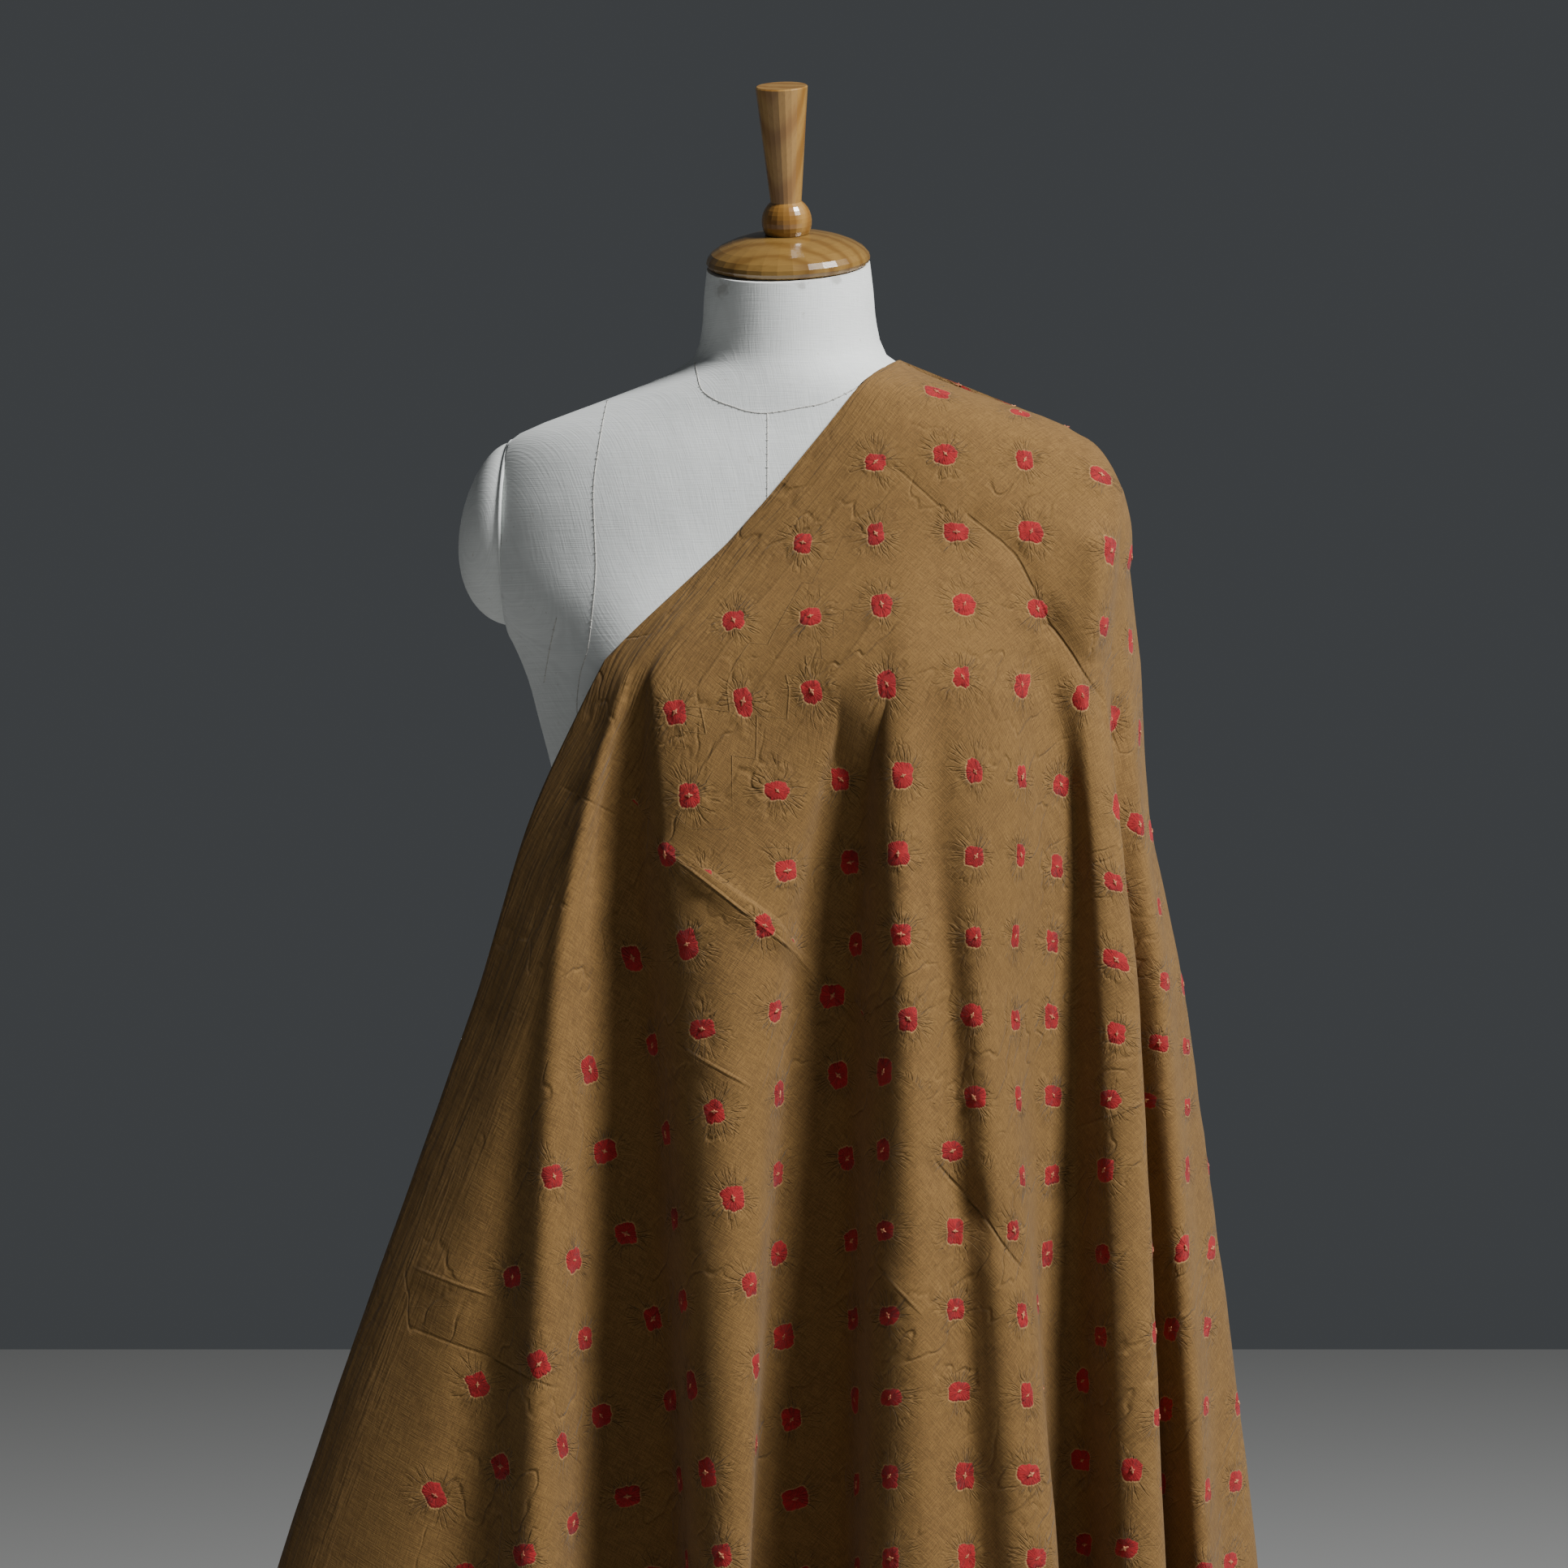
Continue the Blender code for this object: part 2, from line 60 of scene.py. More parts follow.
def maths(tree, operation, *values):
    node = tree.nodes.new("ShaderNodeMath")
    node.operation = operation
    for socket, value in zip(node.inputs, values):
        put(tree, socket, value)
    return node.outputs[0]


def joined(tree, x, y, z=0.0):
    node = tree.nodes.new("ShaderNodeCombineXYZ")
    for socket, value in zip(node.inputs, (x, y, z)):
        put(tree, socket, value)
    return node.outputs[0]


def parted(tree, vector):
    node = tree.nodes.new("ShaderNodeSeparateXYZ")
    put(tree, node.inputs[0], vector)
    return node.outputs


def scaledTo(tree, x, y, z, byX, byY, byZ=0.0):  # texture space with its own scale on each axis
    scaled = [maths(tree, "MULTIPLY", value, by) for value, by in ((x, byX), (y, byY), (z, byZ))]
    return joined(tree, *scaled)


def carried(tree, name):  # value kept on the mesh's points
    node = tree.nodes.new("ShaderNodeAttribute")
    node.attribute_name = name
    return node.outputs["Fac"]


def clouds(tree, vector, scale, detail=3.0, rough=0.55):
    node = tree.nodes.new("ShaderNodeTexNoise")
    put(tree, node.inputs["Vector"], vector)
    put(tree, node.inputs["Scale"], scale)
    put(tree, node.inputs["Detail"], detail)
    put(tree, node.inputs["Roughness"], rough)
    return node.outputs["Fac"]


def creased(tree, value):  # sharp lines where a cloud crosses its middle
    return maths(tree, "ABSOLUTE", maths(tree, "SUBTRACT", value, 0.5))


def blended(tree, share, a, b):
    node = tree.nodes.new("ShaderNodeMix")
    node.data_type = "RGBA"
    put(tree, node.inputs["Factor"], share)
    for key, value in (("A", a), ("B", b)):
        socket = [s for s in node.inputs if s.name == key and s.type == "RGBA"][0]
        put(tree, socket, value if isinstance(value, bpy.types.NodeSocket) else (*value, 1.0))
    return [s for s in node.outputs if s.type == "RGBA"][0]


def stepped(tree, value, low, high, start=0.0, end=1.0):  # smooth step between two limits
    node = tree.nodes.new("ShaderNodeMapRange")
    node.interpolation_type = "SMOOTHSTEP"
    for socket, number in zip(node.inputs, (value, low, high, start, end)):
        put(tree, socket, number)
    return node.outputs[0]


def bumped(tree, height, distance, strength=1.0, under=None):
    node = tree.nodes.new("ShaderNodeBump")
    put(tree, node.inputs["Height"], height)
    put(tree, node.inputs["Distance"], distance)
    put(tree, node.inputs["Strength"], strength)
    if under is not None:
        put(tree, node.inputs["Normal"], under)
    return node.outputs[0]


# Mesh helpers

def newObject(name, mesh, material):
    mesh.materials.append(material)
    mesh.shade_smooth()
    made = bpy.data.objects.new(name, mesh)
    bpy.context.scene.collection.objects.link(made)
    return made


def hermite(stations, values, at):  # smooth value between stations, slopes from the neighbours
    last = len(stations) - 1
    k = 0
    while k < last - 1 and (at - stations[k + 1]) * (stations[-1] - stations[0]) > 0:
        k += 1
    slopes = []
    for j in (k, k + 1):
        before, after = max(j - 1, 0), min(j + 1, last)
        slopes.append((values[after] - values[before]) / (stations[after] - stations[before]))
    span = stations[k + 1] - stations[k]
    t = (at - stations[k]) / span
    start = (1 + 2 * t) * (1 - t) ** 2 * values[k] + t * t * (3 - 2 * t) * values[k + 1]
    return start + span * (t * (1 - t) ** 2 * slopes[0] - t * t * (1 - t) * slopes[1])


def faded(value, start, end):  # 0 before the start and 1 after the end
    return min(1.0, max(0.0, (value - start) / (end - start)))


def tubeMesh(name, lines, radius, sides=6):  # round cords along lists of points
    points, faces = [], []
    for line, closed in lines:
        first = len(points)
        count = len(line)
        for k, here in enumerate(line):
            ahead = line[(k + 1) % count] if closed else line[min(k + 1, count - 1)]
            behind = line[k - 1] if closed else line[max(k - 1, 0)]
            forward = (ahead - behind).normalized()
            right = forward.cross(Vector((0.3, -0.9, 0.2))).normalized()
            up = right.cross(forward)
            for n in range(sides):
                turn = 2 * math.pi * n / sides
                points.append(here + (right * math.cos(turn) + up * math.sin(turn)) * radius)
        for k in range(count if closed else count - 1):
            a, b = first + k * sides, first + (k + 1) % count * sides
            for n in range(sides):
                m = (n + 1) % sides
                faces.append((a + n, a + m, b + m, b + n))
        if not closed:
            faces.append(tuple(first + n for n in range(sides)))
            faces.append(tuple(first + (count - 1) * sides + n for n in range(sides))[::-1])
    mesh = bpy.data.meshes.new(name)
    mesh.from_pydata(points, [], faces)
    shape = bmesh.new()
    shape.from_mesh(mesh)
    bmesh.ops.recalc_face_normals(shape, faces=shape.faces)
    shape.to_mesh(mesh)
    shape.free()
    return mesh


# Body of the form

body = dict(
    turn=math.radians(-8), x=0.002, sides=168, rowStep=0.008, armholeX=0.187,
    neckTilt=math.tan(math.radians(16)), bustX=0.083, bustZ=0.992, bustHeight=0.033,
    bustSpread=0.043, squareness=2.25, squareTop=1.20, squareFade=0.08,
)
# height, widest line's y, half width, depth to the front, depth to the back, slope of the section
bodyRows = (
    (1283.5, -16, 54, 57, 54, 1.00),
    (1266, -15, 56, 58, 55, 0.92),
    (1243, -12, 58, 61, 57, 0.70),
    (1224, -8, 64, 66, 60, 0.40),
    (1214, -6, 79, 70, 62, 0.20),
    (1206, -4, 97, 73, 63, 0.08),
    (1197, -3, 121, 76, 65, 0.0),
    (1188, -1, 147, 79, 68, 0.0),
    (1174, 0, 183, 83, 73, 0.0),
    (1158, 0, 200, 88, 79, 0.0),
    (1130, 0, 208, 95, 87, 0.0),
    (1095, 0, 209, 102, 92, 0.0),
    (1062, 0, 203, 109, 94, 0.0),
    (1035, 0, 187, 114, 94, 0.0),
    (1010, 0, 176, 117, 92, 0.0),
    (985, 0, 169, 117, 90, 0.0),
    (955, 0, 161, 113, 86, 0.0),
    (920, 0, 153, 106, 80, 0.0),
    (870, 0, 142, 99, 74, 0.0),
    (820, 0, 137, 97, 73, 0.0),
    (770, 0, 147, 101, 84, 0.0),
    (710, 0, 166, 106, 103, 0.0),
    (640, 0, 182, 109, 117, 0.0),
    (570, 0, 184, 105, 114, 0.0),
    (500, 0, 178, 98, 101, 0.0),
)


def halfRound(part, squareness):
    return math.copysign(abs(part) ** (2 / squareness), part)


def bodyRing(height, sides):  # one section, before the body is turned
    stations = [row[0] for row in bodyRows]
    values = [hermite(stations, [row[k] for row in bodyRows], height) for k in range(1, 6)]
    widestY, halfWidth, front, back = (value * mm for value in values[:4])
    slope = values[4]
    z = height * mm
    squareness = 2.0 + (body["squareness"] - 2.0) * faded(body["squareTop"] - z, 0, body["squareFade"])
    points = []
    for k in range(sides):
        angle = 2 * math.pi * (k + 0.5) / sides
        sine = math.sin(angle)
        x = halfWidth * halfRound(math.cos(angle), squareness)
        y = widestY + (back if sine > 0 else front) * halfRound(sine, squareness)
        if sine < 0:
            for side in (-1, 1):
                away = (x - side * body["bustX"]) ** 2 + (z - body["bustZ"]) ** 2
                y += body["bustHeight"] * math.exp(-away / (2 * body["bustSpread"] ** 2)) * sine
        points.append(Vector((x, y, z + slope * body["neckTilt"] * (y - widestY))))
    return points


bodyPlace = Matrix.Translation((body["x"], 0, 0)) @ Matrix.Rotation(body["turn"], 4, "Z")


def finishedShape(name, shape):  # a bmesh in the body's own frame, turned on to its post
    bmesh.ops.transform(shape, matrix=bodyPlace, verts=shape.verts)
    mesh = bpy.data.meshes.new(name)
    shape.to_mesh(mesh)
    shape.free()
    return mesh


def cutFlat(shape, place, outward):
    everything = shape.verts[:] + shape.edges[:] + shape.faces[:]
    bmesh.ops.bisect_plane(shape, geom=everything, plane_co=place, plane_no=outward, clear_outer=True)
    bmesh.ops.holes_fill(shape, edges=[e for e in shape.edges if e.is_boundary])


def bodyMesh():  # the padded torso, cut flat at both armholes
    heights = []
    for upper, lower in zip(bodyRows, bodyRows[1:]):
        parts = max(1, round((upper[0] - lower[0]) * mm / body["rowStep"]))
        heights += [upper[0] + (lower[0] - upper[0]) * k / parts for k in range(parts)]
    heights.append(bodyRows[-1][0])
    shape = bmesh.new()
    rings = [[shape.verts.new(p) for p in bodyRing(height, body["sides"])] for height in heights]
    for upper, lower in zip(rings, rings[1:]):
        for k in range(body["sides"]):
            n = (k + 1) % body["sides"]
            shape.faces.new([upper[k], upper[n], lower[n], lower[k]])
    shape.faces.new(rings[0])
    shape.faces.new(rings[-1])
    for side in (-1, 1):
        cutFlat(shape, (side * body["armholeX"], 0, 0), (side, 0, 0))
    bmesh.ops.recalc_face_normals(shape, faces=shape.faces)
    return finishedShape("torsoSkin", shape)


def linenMaterial(name, tone, marks=()):  # off-white plain weave with slubs, a soft mottle and grey marks
    material, tree, shader = newMaterial(name)
    place = tree.nodes.new("ShaderNodeTexCoord").outputs["Object"]
    x, y, z = parted(tree, place)
    across = maths(tree, "MULTIPLY_ADD", y, 0.75, x)
    slubWide = clouds(tree, scaledTo(tree, across, z, z, 60.0, 1300.0), 1.0, 2.0)
    slubTall = clouds(tree, scaledTo(tree, across, z, z, 1300.0, 60.0), 1.0, 2.0)
    slubs = maths(tree, "MULTIPLY", maths(tree, "ADD", slubWide, slubTall), 0.5)
    mottle = clouds(tree, place, 9.0, 4.0)
    fleck = clouds(tree, place, 260.0, 2.0)
    base = blended(tree, stepped(tree, mottle, 0.35, 0.68), tone, [c * 0.92 for c in tone])
    base = blended(tree, stepped(tree, slubs, 0.40, 0.62, 0.0, 0.55), base, [c * 1.14 for c in tone])
    base = blended(tree, stepped(tree, fleck, 0.66, 0.76, 0.0, 0.30), base, (0.40, 0.37, 0.31))
    for markX, markZ, size in marks:
        spot = tree.nodes.new("ShaderNodeVectorMath")
        spot.operation = "DISTANCE"
        put(tree, spot.inputs[0], joined(tree, x, 0.0, z))
        spot.inputs[1].default_value = (markX, 0.0, markZ)
        ragged = maths(tree, "MULTIPLY_ADD", fleck, size * 1.2, spot.outputs["Value"])
        ragged = maths(tree, "ADD", ragged, stepped(tree, y, -0.04, -0.02))
        stain = stepped(tree, ragged, size * 1.5, size * 0.9, 0.0, 0.55)
        base = blended(tree, stain, base, (0.33, 0.32, 0.29))
    put(tree, shader.inputs["Base Color"], base)
    shader.inputs["Roughness"].default_value = 0.9
    shader.inputs["Sheen Weight"].default_value = 0.08
    wrinkle = creased(tree, clouds(tree, scaledTo(tree, across, z, y, 30.0, 7.0, 12.0), 1.0, 3.0))
    soft = bumped(tree, wrinkle, 0.0022, 0.35)
    put(tree, shader.inputs["Normal"], bumped(tree, slubs, 0.0006, 0.55, soft))
    return material


linen = linenMaterial(
    "linenWeave", (0.722, 0.745, 0.730),
    ((-0.0435, 1.2650, 0.0075), (0.0085, 1.2655, 0.0045), (0.0308, 1.2700, 0.0050)),
)
torso = newObject("torsoSkin", bodyMesh(), linen)
torso.data.set_sharp_from_angle(angle=math.radians(40))
print("torso", len(torso.data.polygons))

# Arm plates

plate = dict(out=0.0365, deep=0.052, high=0.0615, z=1.1075, skew=0.18, gap=0.0003, around=64, rings=48)


def platePoint(side, x, y, z):  # from a unit ball to the plate
    out = abs(x) * (1 - plate["skew"] * z) * plate["out"]
    flat = side * (body["armholeX"] + plate["gap"])
    return Vector((flat + side * out, y * plate["deep"], plate["z"] + z * plate["high"]))


def plateMesh(side):  # the padded dome sewn on where an arm would start
    shape = bmesh.new()
    bmesh.ops.create_uvsphere(shape, u_segments=plate["around"], v_segments=plate["rings"], radius=1.0)
    bmesh.ops.rotate(shape, verts=shape.verts, matrix=Matrix.Rotation(math.pi / 2, 3, "Y"))
    cutFlat(shape, (0, 0, 0), (-side, 0, 0))
    for vert in shape.verts:
        vert.co = platePoint(side, *vert.co)
    return finishedShape("plateSkin", shape)


plates = []
for side, name in ((-1, "plateLeft"), (1, "plateRight")):
    made = newObject(name, plateMesh(side), linen)
    made.data.set_sharp_from_angle(angle=math.radians(40))
    plates.append(made)

# Cloth

cloth = dict(
    thick=0.0008, clear=0.0016, chestRows=62, skirtRows=128, rowCrowd=1.25, laidRows=104, ridgeRows=31,
    frontPitch=0.0056, backPitch=0.015, shoulderCrowd=1.85,
    lastFront=20, firstBack=26, sideFold=24, crownFold=13,
    hemX=0.85, hemY=0.45, shoulderRound=0.012, coreHeight=1.05, steepest=0.35,
    smoothTurns=12, smoothRounds=20,
)
# share of the way out along the shoulder, and the point there
shoulder = (
    (0.0, Vector((0.072, -0.010, 1.216))), (0.70, Vector((0.176, -0.022, 1.178))),
    (0.86, Vector((0.205, -0.027, 1.162))), (1.0, Vector((0.219, -0.030, 1.136))),
)
foldLevels = (1.02, 0.92, 0.80, 0.44, 0.060)
# fold, x and y at bust level, under the bust, at the waist and at the thigh
folds = (
    ("front selvedge", -120, -112, -166, -104, -203, -104, -328, -104),
    ("edge groove", -116, -115, -157, -112, -191, -116, -302, -128),
    ("panel crown", -110, -119, -144, -123, -174, -133, -248, -150),
    ("panel dip", -106, -122, -138, -129, -161, -142, -200, -150),
    ("panel edge", -102, -126, -130, -136, -147, -150, -160, -180),
    ("first hollow left", -97, -128, -119, -122, -119, -122, -124, -118),
    ("first hollow right", -91, -131, -98, -122, -93, -119, -76, -112),
    ("second ridge left", -84, -136, -78, -147, -70, -157, -57, -175),
    ("second ridge crown", -17, -136, -35, -154, -41, -169, -40, -190),
    ("second ridge right", 40, -144, 7, -148, -14, -157, -26, -182),
    ("second hollow left", 49, -143, 22, -130, 7, -126, -22, -124),
    ("second hollow right", 58, -144, 46, -127, 38, -120, 33, -116),
    ("third ridge left", 66, -148, 59, -154, 58, -156, 55, -180),
    ("third ridge crown", 79, -148, 72, -160, 76, -170, 84, -194),
    ("third ridge dip", 95, -144, 93, -149, 103, -151, 120, -174),
    ("third ridge second crown", 110, -139, 116, -149, 121, -158, 146, -187),
    ("third ridge right", 126, -133, 146, -134, 139, -145, 170, -168),
    ("third hollow left", 148, -118, 167, -112, 157, -126, 169, -112),
    ("third hollow right", 168, -104, 184, -99, 183, -103, 191, -102),
    ("fourth ridge left", 189, -101, 197, -110, 204, -124, 215, -150),
    ("fourth ridge right", 202, -84, 213, -98, 225, -114, 240, -142),
    ("fourth hollow", 211, -64, 211, -69, 219, -63, 237, -54),
    ("side ridge crown", 223, -46, 229, -60, 242, -72, 268, -94),
    ("side ridge crease", 229, -25, 234, -34, 253, -44, 284, -56),
    ("side silhouette", 233, 0, 239, -3, 261, -8, 308, -14),
    ("side groove", 226, 24, 231, 26, 238, 28, 270, 34),
    ("back first crown", 206, 56, 214, 67, 228, 76, 250, 116),
    ("back first groove", 186, 74, 190, 71, 196, 68, 204, 70),
    ("back second crown", 168, 85, 172, 95, 176, 104, 178, 148),
    ("back second groove", 150, 92, 151, 89, 152, 86, 136, 96),
    ("back third crown", 132, 98, 131, 105, 131, 112, 106, 152),
    ("back selvedge", 118, 101, 116, 105, 114, 108, 82, 134),
)


def foldCells():  # columns between each fold and the next, from their distance at the waist and thigh
    cells = []
    for k, (here, there) in enumerate(zip(folds, folds[1:])):
        waist = math.dist(here[5:7], there[5:7]) * mm
        thigh = math.dist(here[7:9], there[7:9]) * mm
        pitch = cloth["frontPitch"] if k < cloth["sideFold"] else cloth["backPitch"]
        cells.append(max(2, round((waist + thigh) / 2 / pitch)))
    return cells


def foldPoint(fold, height):
    hemX = fold[7] + cloth["hemX"] * (fold[7] - fold[5])
    hemY = fold[8] + cloth["hemY"] * (fold[8] - fold[6])
    x = hermite(foldLevels, (*fold[1:8:2], hemX), height)
    y = hermite(foldLevels, (*fold[2:9:2], hemY), height)
    return Vector((x * mm, y * mm, height))


def shoulderShare(fold, index):  # how far out a fold starts: 0 at the neck, 1 at the outer end
    lastFront, firstBack = cloth["lastFront"], cloth["firstBack"]
    if lastFront <= index <= firstBack:
        return 1.0
    if index < lastFront:
        edge, end = folds[0][1], folds[lastFront][1]
        return ((fold[1] - edge) / (end - edge)) ** cloth["shoulderCrowd"]
    edge, end = folds[-1][1], folds[firstBack][1]
    return (fold[1] - edge) / (end - edge)


def shoulderPoint(share):
    for (start, here), (end, there) in zip(shoulder, shoulder[1:]):
        if share < end:
            return here.lerp(there, (share - start) / (end - start))
    return shoulder[-1][1]


def foldLine(fold, index):  # one fold from the shoulder to the hem
    top = shoulderPoint(shoulderShare(fold, index))
    bust = foldPoint(fold, foldLevels[0])
    reach = Vector((0, bust.y, top.z - cloth["shoulderRound"]))
    line = []
    for row in range(cloth["chestRows"]):
        t = row / cloth["chestRows"]
        point = top * (1 - t) ** 2 + reach * 2 * t * (1 - t) + bust * t * t
        point.x = top.x + (bust.x - top.x) * (top.z - point.z) / (top.z - bust.z)
        line.append(point)
    for row in range(cloth["skirtRows"] + 1):
        share = (row / cloth["skirtRows"]) ** cloth["rowCrowd"]
        line.append(foldPoint(fold, foldLevels[0] + (foldLevels[-1] - foldLevels[0]) * share))
    return line


def acrossFolds(points, cells):  # rounded curve through one row's fold points
    places = [0.0]
    for here, following in zip(points, points[1:]):
        places.append(places[-1] + max((following - here).length, 1e-5) ** 0.5)
    columns = [[p[axis] for p in points] for axis in range(3)]
    row = []
    for k, count in enumerate(cells):
        for step in range(count):
            at = places[k] + (places[k + 1] - places[k]) * step / count
            row.append([hermite(places, column, at) for column in columns])
    row.append(list(points[-1]))
    return row


def surfaceOf(objects):  # ray search over the form
    points, faces = [], []
    for made in objects:
        offset = len(points)
        points += [v.co.copy() for v in made.data.vertices]
        faces += [[offset + k for k in f.vertices] for f in made.data.polygons]
    return BVHTree.FromPolygons(points, faces)


def layOnForm(point, form, snap):  # out to the cloth's clearance, or on to it where snap is 1
    core = Vector((0, 0, min(point.z, cloth["coreHeight"])))
    away = (point - core).normalized()
    hit, normal, _, _ = form.ray_cast(core + away, -away)
    if hit is None:
        return point
    onForm = hit + away * cloth["clear"] / max(cloth["steepest"], normal.dot(away))
    if (point - core).length < (onForm - core).length:
        return onForm
    return point.lerp(onForm, snap)


def snapShares(x, z):  # 1 on the shoulder and chest, fading out under the bust and below the arm plate
    overArm = np.clip((x - 0.167) / 0.030, 0, 1)
    hung = 1 - np.clip((z - 1.0975) / 0.040, 0, 1)
    return np.clip((z - 1.00) / 0.10, 0, 1) * (1 - overArm * hung)


def clothGrid(form):  # rows from the shoulder to the hem, each from the front selvedge to the back one
    cells = foldCells()
    lines = [foldLine(fold, k) for k, fold in enumerate(folds)]
    grid = np.array([acrossFolds([line[r] for line in lines], cells) for r in range(len(lines[0]))])
    outer = sum(cells[: cloth["lastFront"]])
    laid = cloth["laidRows"]
    share = snapShares(grid[..., 0], grid[..., 2])
    for r in range(laid):
        for c in range(grid.shape[1]):
            grid[r, c] = layOnForm(Vector(grid[r, c]), form, float(share[r, c]))
    grid[0, outer:] = grid[0, outer]
    held = 0.5 * np.minimum(1.0, np.arange(1, laid) / cloth["ridgeRows"])[:, None, None]
    for _ in range(cloth["smoothTurns"]):
        for _ in range(cloth["smoothRounds"]):
            middle = grid[1:laid, 1:-1]
            above, below = grid[: laid - 1, 1:-1], grid[2 : laid + 1, 1:-1]
            even = (above + below + grid[1:laid, :-2] + grid[1:laid, 2:]) / 4
            free = held * snapShares(middle[..., 0], middle[..., 2])[..., None]
            grid[1:laid, 1:-1] = middle + (even - middle) * free
        for r in range(1, laid):
            for c in range(grid.shape[1]):
                grid[r, c] = layOnForm(Vector(grid[r, c]), form, 0.0)
    return grid, cells


grid, cells = clothGrid(surfaceOf([torso, *plates]))
outer = sum(cells[: cloth["lastFront"]])
crown = sum(cells[: cloth["crownFold"]])
print("cloth grid", grid.shape)

# Tied pattern: places on the flat cloth are (s, t), along the front selvedge and in from it, in metres

pattern = dict(
    pitch=0.0368, s0=0.059, t0=0.038, firstZ=1.1448, breakS=0.345, breakT=-0.028,
    jitter=0.0022, border=0.030, lowBorder=0.062, levelZ=1.11, edgeFade=1.2,
    lift=0.008, bowX=0.105, tuckFrom=15, tuckTo=17, turnS=(12.9, 7.3), turnT=(4.7, -9.1, 1.0),
)


def alongRows(points):  # distance from the first column to every point, in plan
    step = np.linalg.norm(np.diff(points[:, :, :2], axis=1), axis=2)
    return np.concatenate([np.zeros((len(points), 1)), np.cumsum(step, axis=1)], axis=1)


def clothPlaces():
    line = grid[:, crown]
    arc = alongRows(grid)
    arc = arc - arc[:, crown][:, None]
    drop = np.concatenate([[0.0], np.cumsum(np.linalg.norm(np.diff(line[:, 1:], axis=0), axis=1))])
    order = np.argsort(line[:, 2])
    height = grid[:, :, 2]
    path = np.interp(height, line[order, 2], drop[order])
    column = np.linalg.norm(np.diff(grid[:, :, 1:], axis=0), axis=2)
    column = np.concatenate([np.zeros((1, grid.shape[1])), np.cumsum(column, axis=0)])
    level = pattern["levelZ"]
    start = [np.interp(-level, -height[:, c], column[:, c]) for c in range(grid.shape[1])]
    path = np.where(height > level, np.interp(level, line[order, 2], drop[order]) - start + column, path)
    path -= np.interp(pattern["firstZ"], line[order, 2], drop[order])
    columnX = np.interp(height, (0.945, 1.00, 1.05, 1.15, 1.22), (0.074, 0.062, 0.061, 0.048, 0.042))
    away = arc + np.where(height > 0.945, line[:, 0][:, None] - columnX, 0)
    tuckStart, tuckEnd = (sum(cells[: pattern[key]]) for key in ("tuckFrom", "tuckTo"))
    tuck = np.interp(height, (0.45, 0.60, 0.85, 0.95, 1.03), (0.0, 0.020, 0.040, 0.036, 0.0))
    away += tuck * np.clip((np.arange(grid.shape[1]) - tuckStart) / (tuckEnd - tuckStart), 0, 1)
    bow = np.interp(height, (0.70, 0.80, 0.90, 1.06, 1.12, 1.20), (0.0, 1.5, 2.2, 1.5, 0.6, 0.4))
    path -= bow * np.maximum(grid[:, :, 0] - pattern["bowX"], 0) ** 2
    path += pattern["lift"] * np.clip((height - 0.95) / 0.05, 0, 1)
    s = pattern["s0"] + (path - away) * math.sqrt(0.5)
    t = pattern["t0"] + (path + away) * math.sqrt(0.5)
    edge = grid[:, 0]
    edgeLength = np.concatenate([[0.0], np.cumsum(np.linalg.norm(np.diff(edge, axis=0), axis=1))])
    share = np.clip(arc / arc[:, :1], 0, 1) * (np.arange(grid.shape[1]) <= crown)
    share = share ** pattern["edgeFade"]
    edgeS = np.interp(edge[:, 2], (0.60, 0.85, 0.98, 1.05, 1.20), (-0.055, -0.043, -0.033, -0.043, -0.050))
    edgeT = np.interp(
        edge[:, 2], (0.45, 0.70, 0.88, 0.98, 1.04, 1.10), (0.0, -0.008, -0.018, -0.034, -0.020, -0.005),
    )
    s += share * (edgeLength + edgeS - s[:, 0])[:, None]
    t += share * (edgeT - t[:, 0])[:, None]
    return s, t


placeS, placeT = clothPlaces()
print("flat size", placeS.min(), placeS.max(), placeT.min(), placeT.max())

# x and z of both ends in mm, depth and half width in mm; a minus depth is a ridge
creases = (
    (71, 1144, 95, 1122, 0.9, 4),
    (-64, 770, -32, 751, -2.0, 6),
    (-142, 936, -116, 922, 1.0, 5),
    (-234, 626, -197, 614, -1.6, 6),
    (-236, 588, -192, 573, 1.4, 5),
    (-192, 573, -152, 556, 1.6, 6),
    (98, 695, 147, 635, 3.0, 11),
    (60, 630, 78, 610, -1.6, 5),
    (218, 640, 200, 615, -1.8, 5),
    (194, 720, 223, 733, -1.8, 5),
    (-80, 899, -55, 879, -2.6, 5),
    (-55, 879, 1, 833, -3.0, 5),
    (1, 833, 43, 786, -1.0, 6),
    (119, 1112, 147, 1090, 1.6, 6),
    (147, 1090, 170, 1044, 2.4, 7),
    (170, 1044, 208, 991, 3.0, 7),
    (208, 991, 214, 969, 3.2, 6),
    (-73, 981, -32, 1040, -1.2, 6),
    (-32, 1040, 53, 1144, -1.0, 6),
    (-68, 932, -25, 994, -1.2, 6),
    (-25, 994, 14, 1051, -1.0, 6),
    (14, 1051, 60, 1098, -0.8, 6),
    (-18, 940, 25, 1003, -1.0, 6),
    (25, 1003, 64, 1058, -0.9, 6),
)


def gridNormals(points):
    normals = np.cross(np.gradient(points, axis=0), np.gradient(points, axis=1))
    size = np.linalg.norm(normals, axis=2, keepdims=True)
    return normals / np.maximum(size, 1e-12)


sharp = dict(width=1.8, deep=0.0014, endFade=5.0)  # middle line of the same creases, in mm but for deep


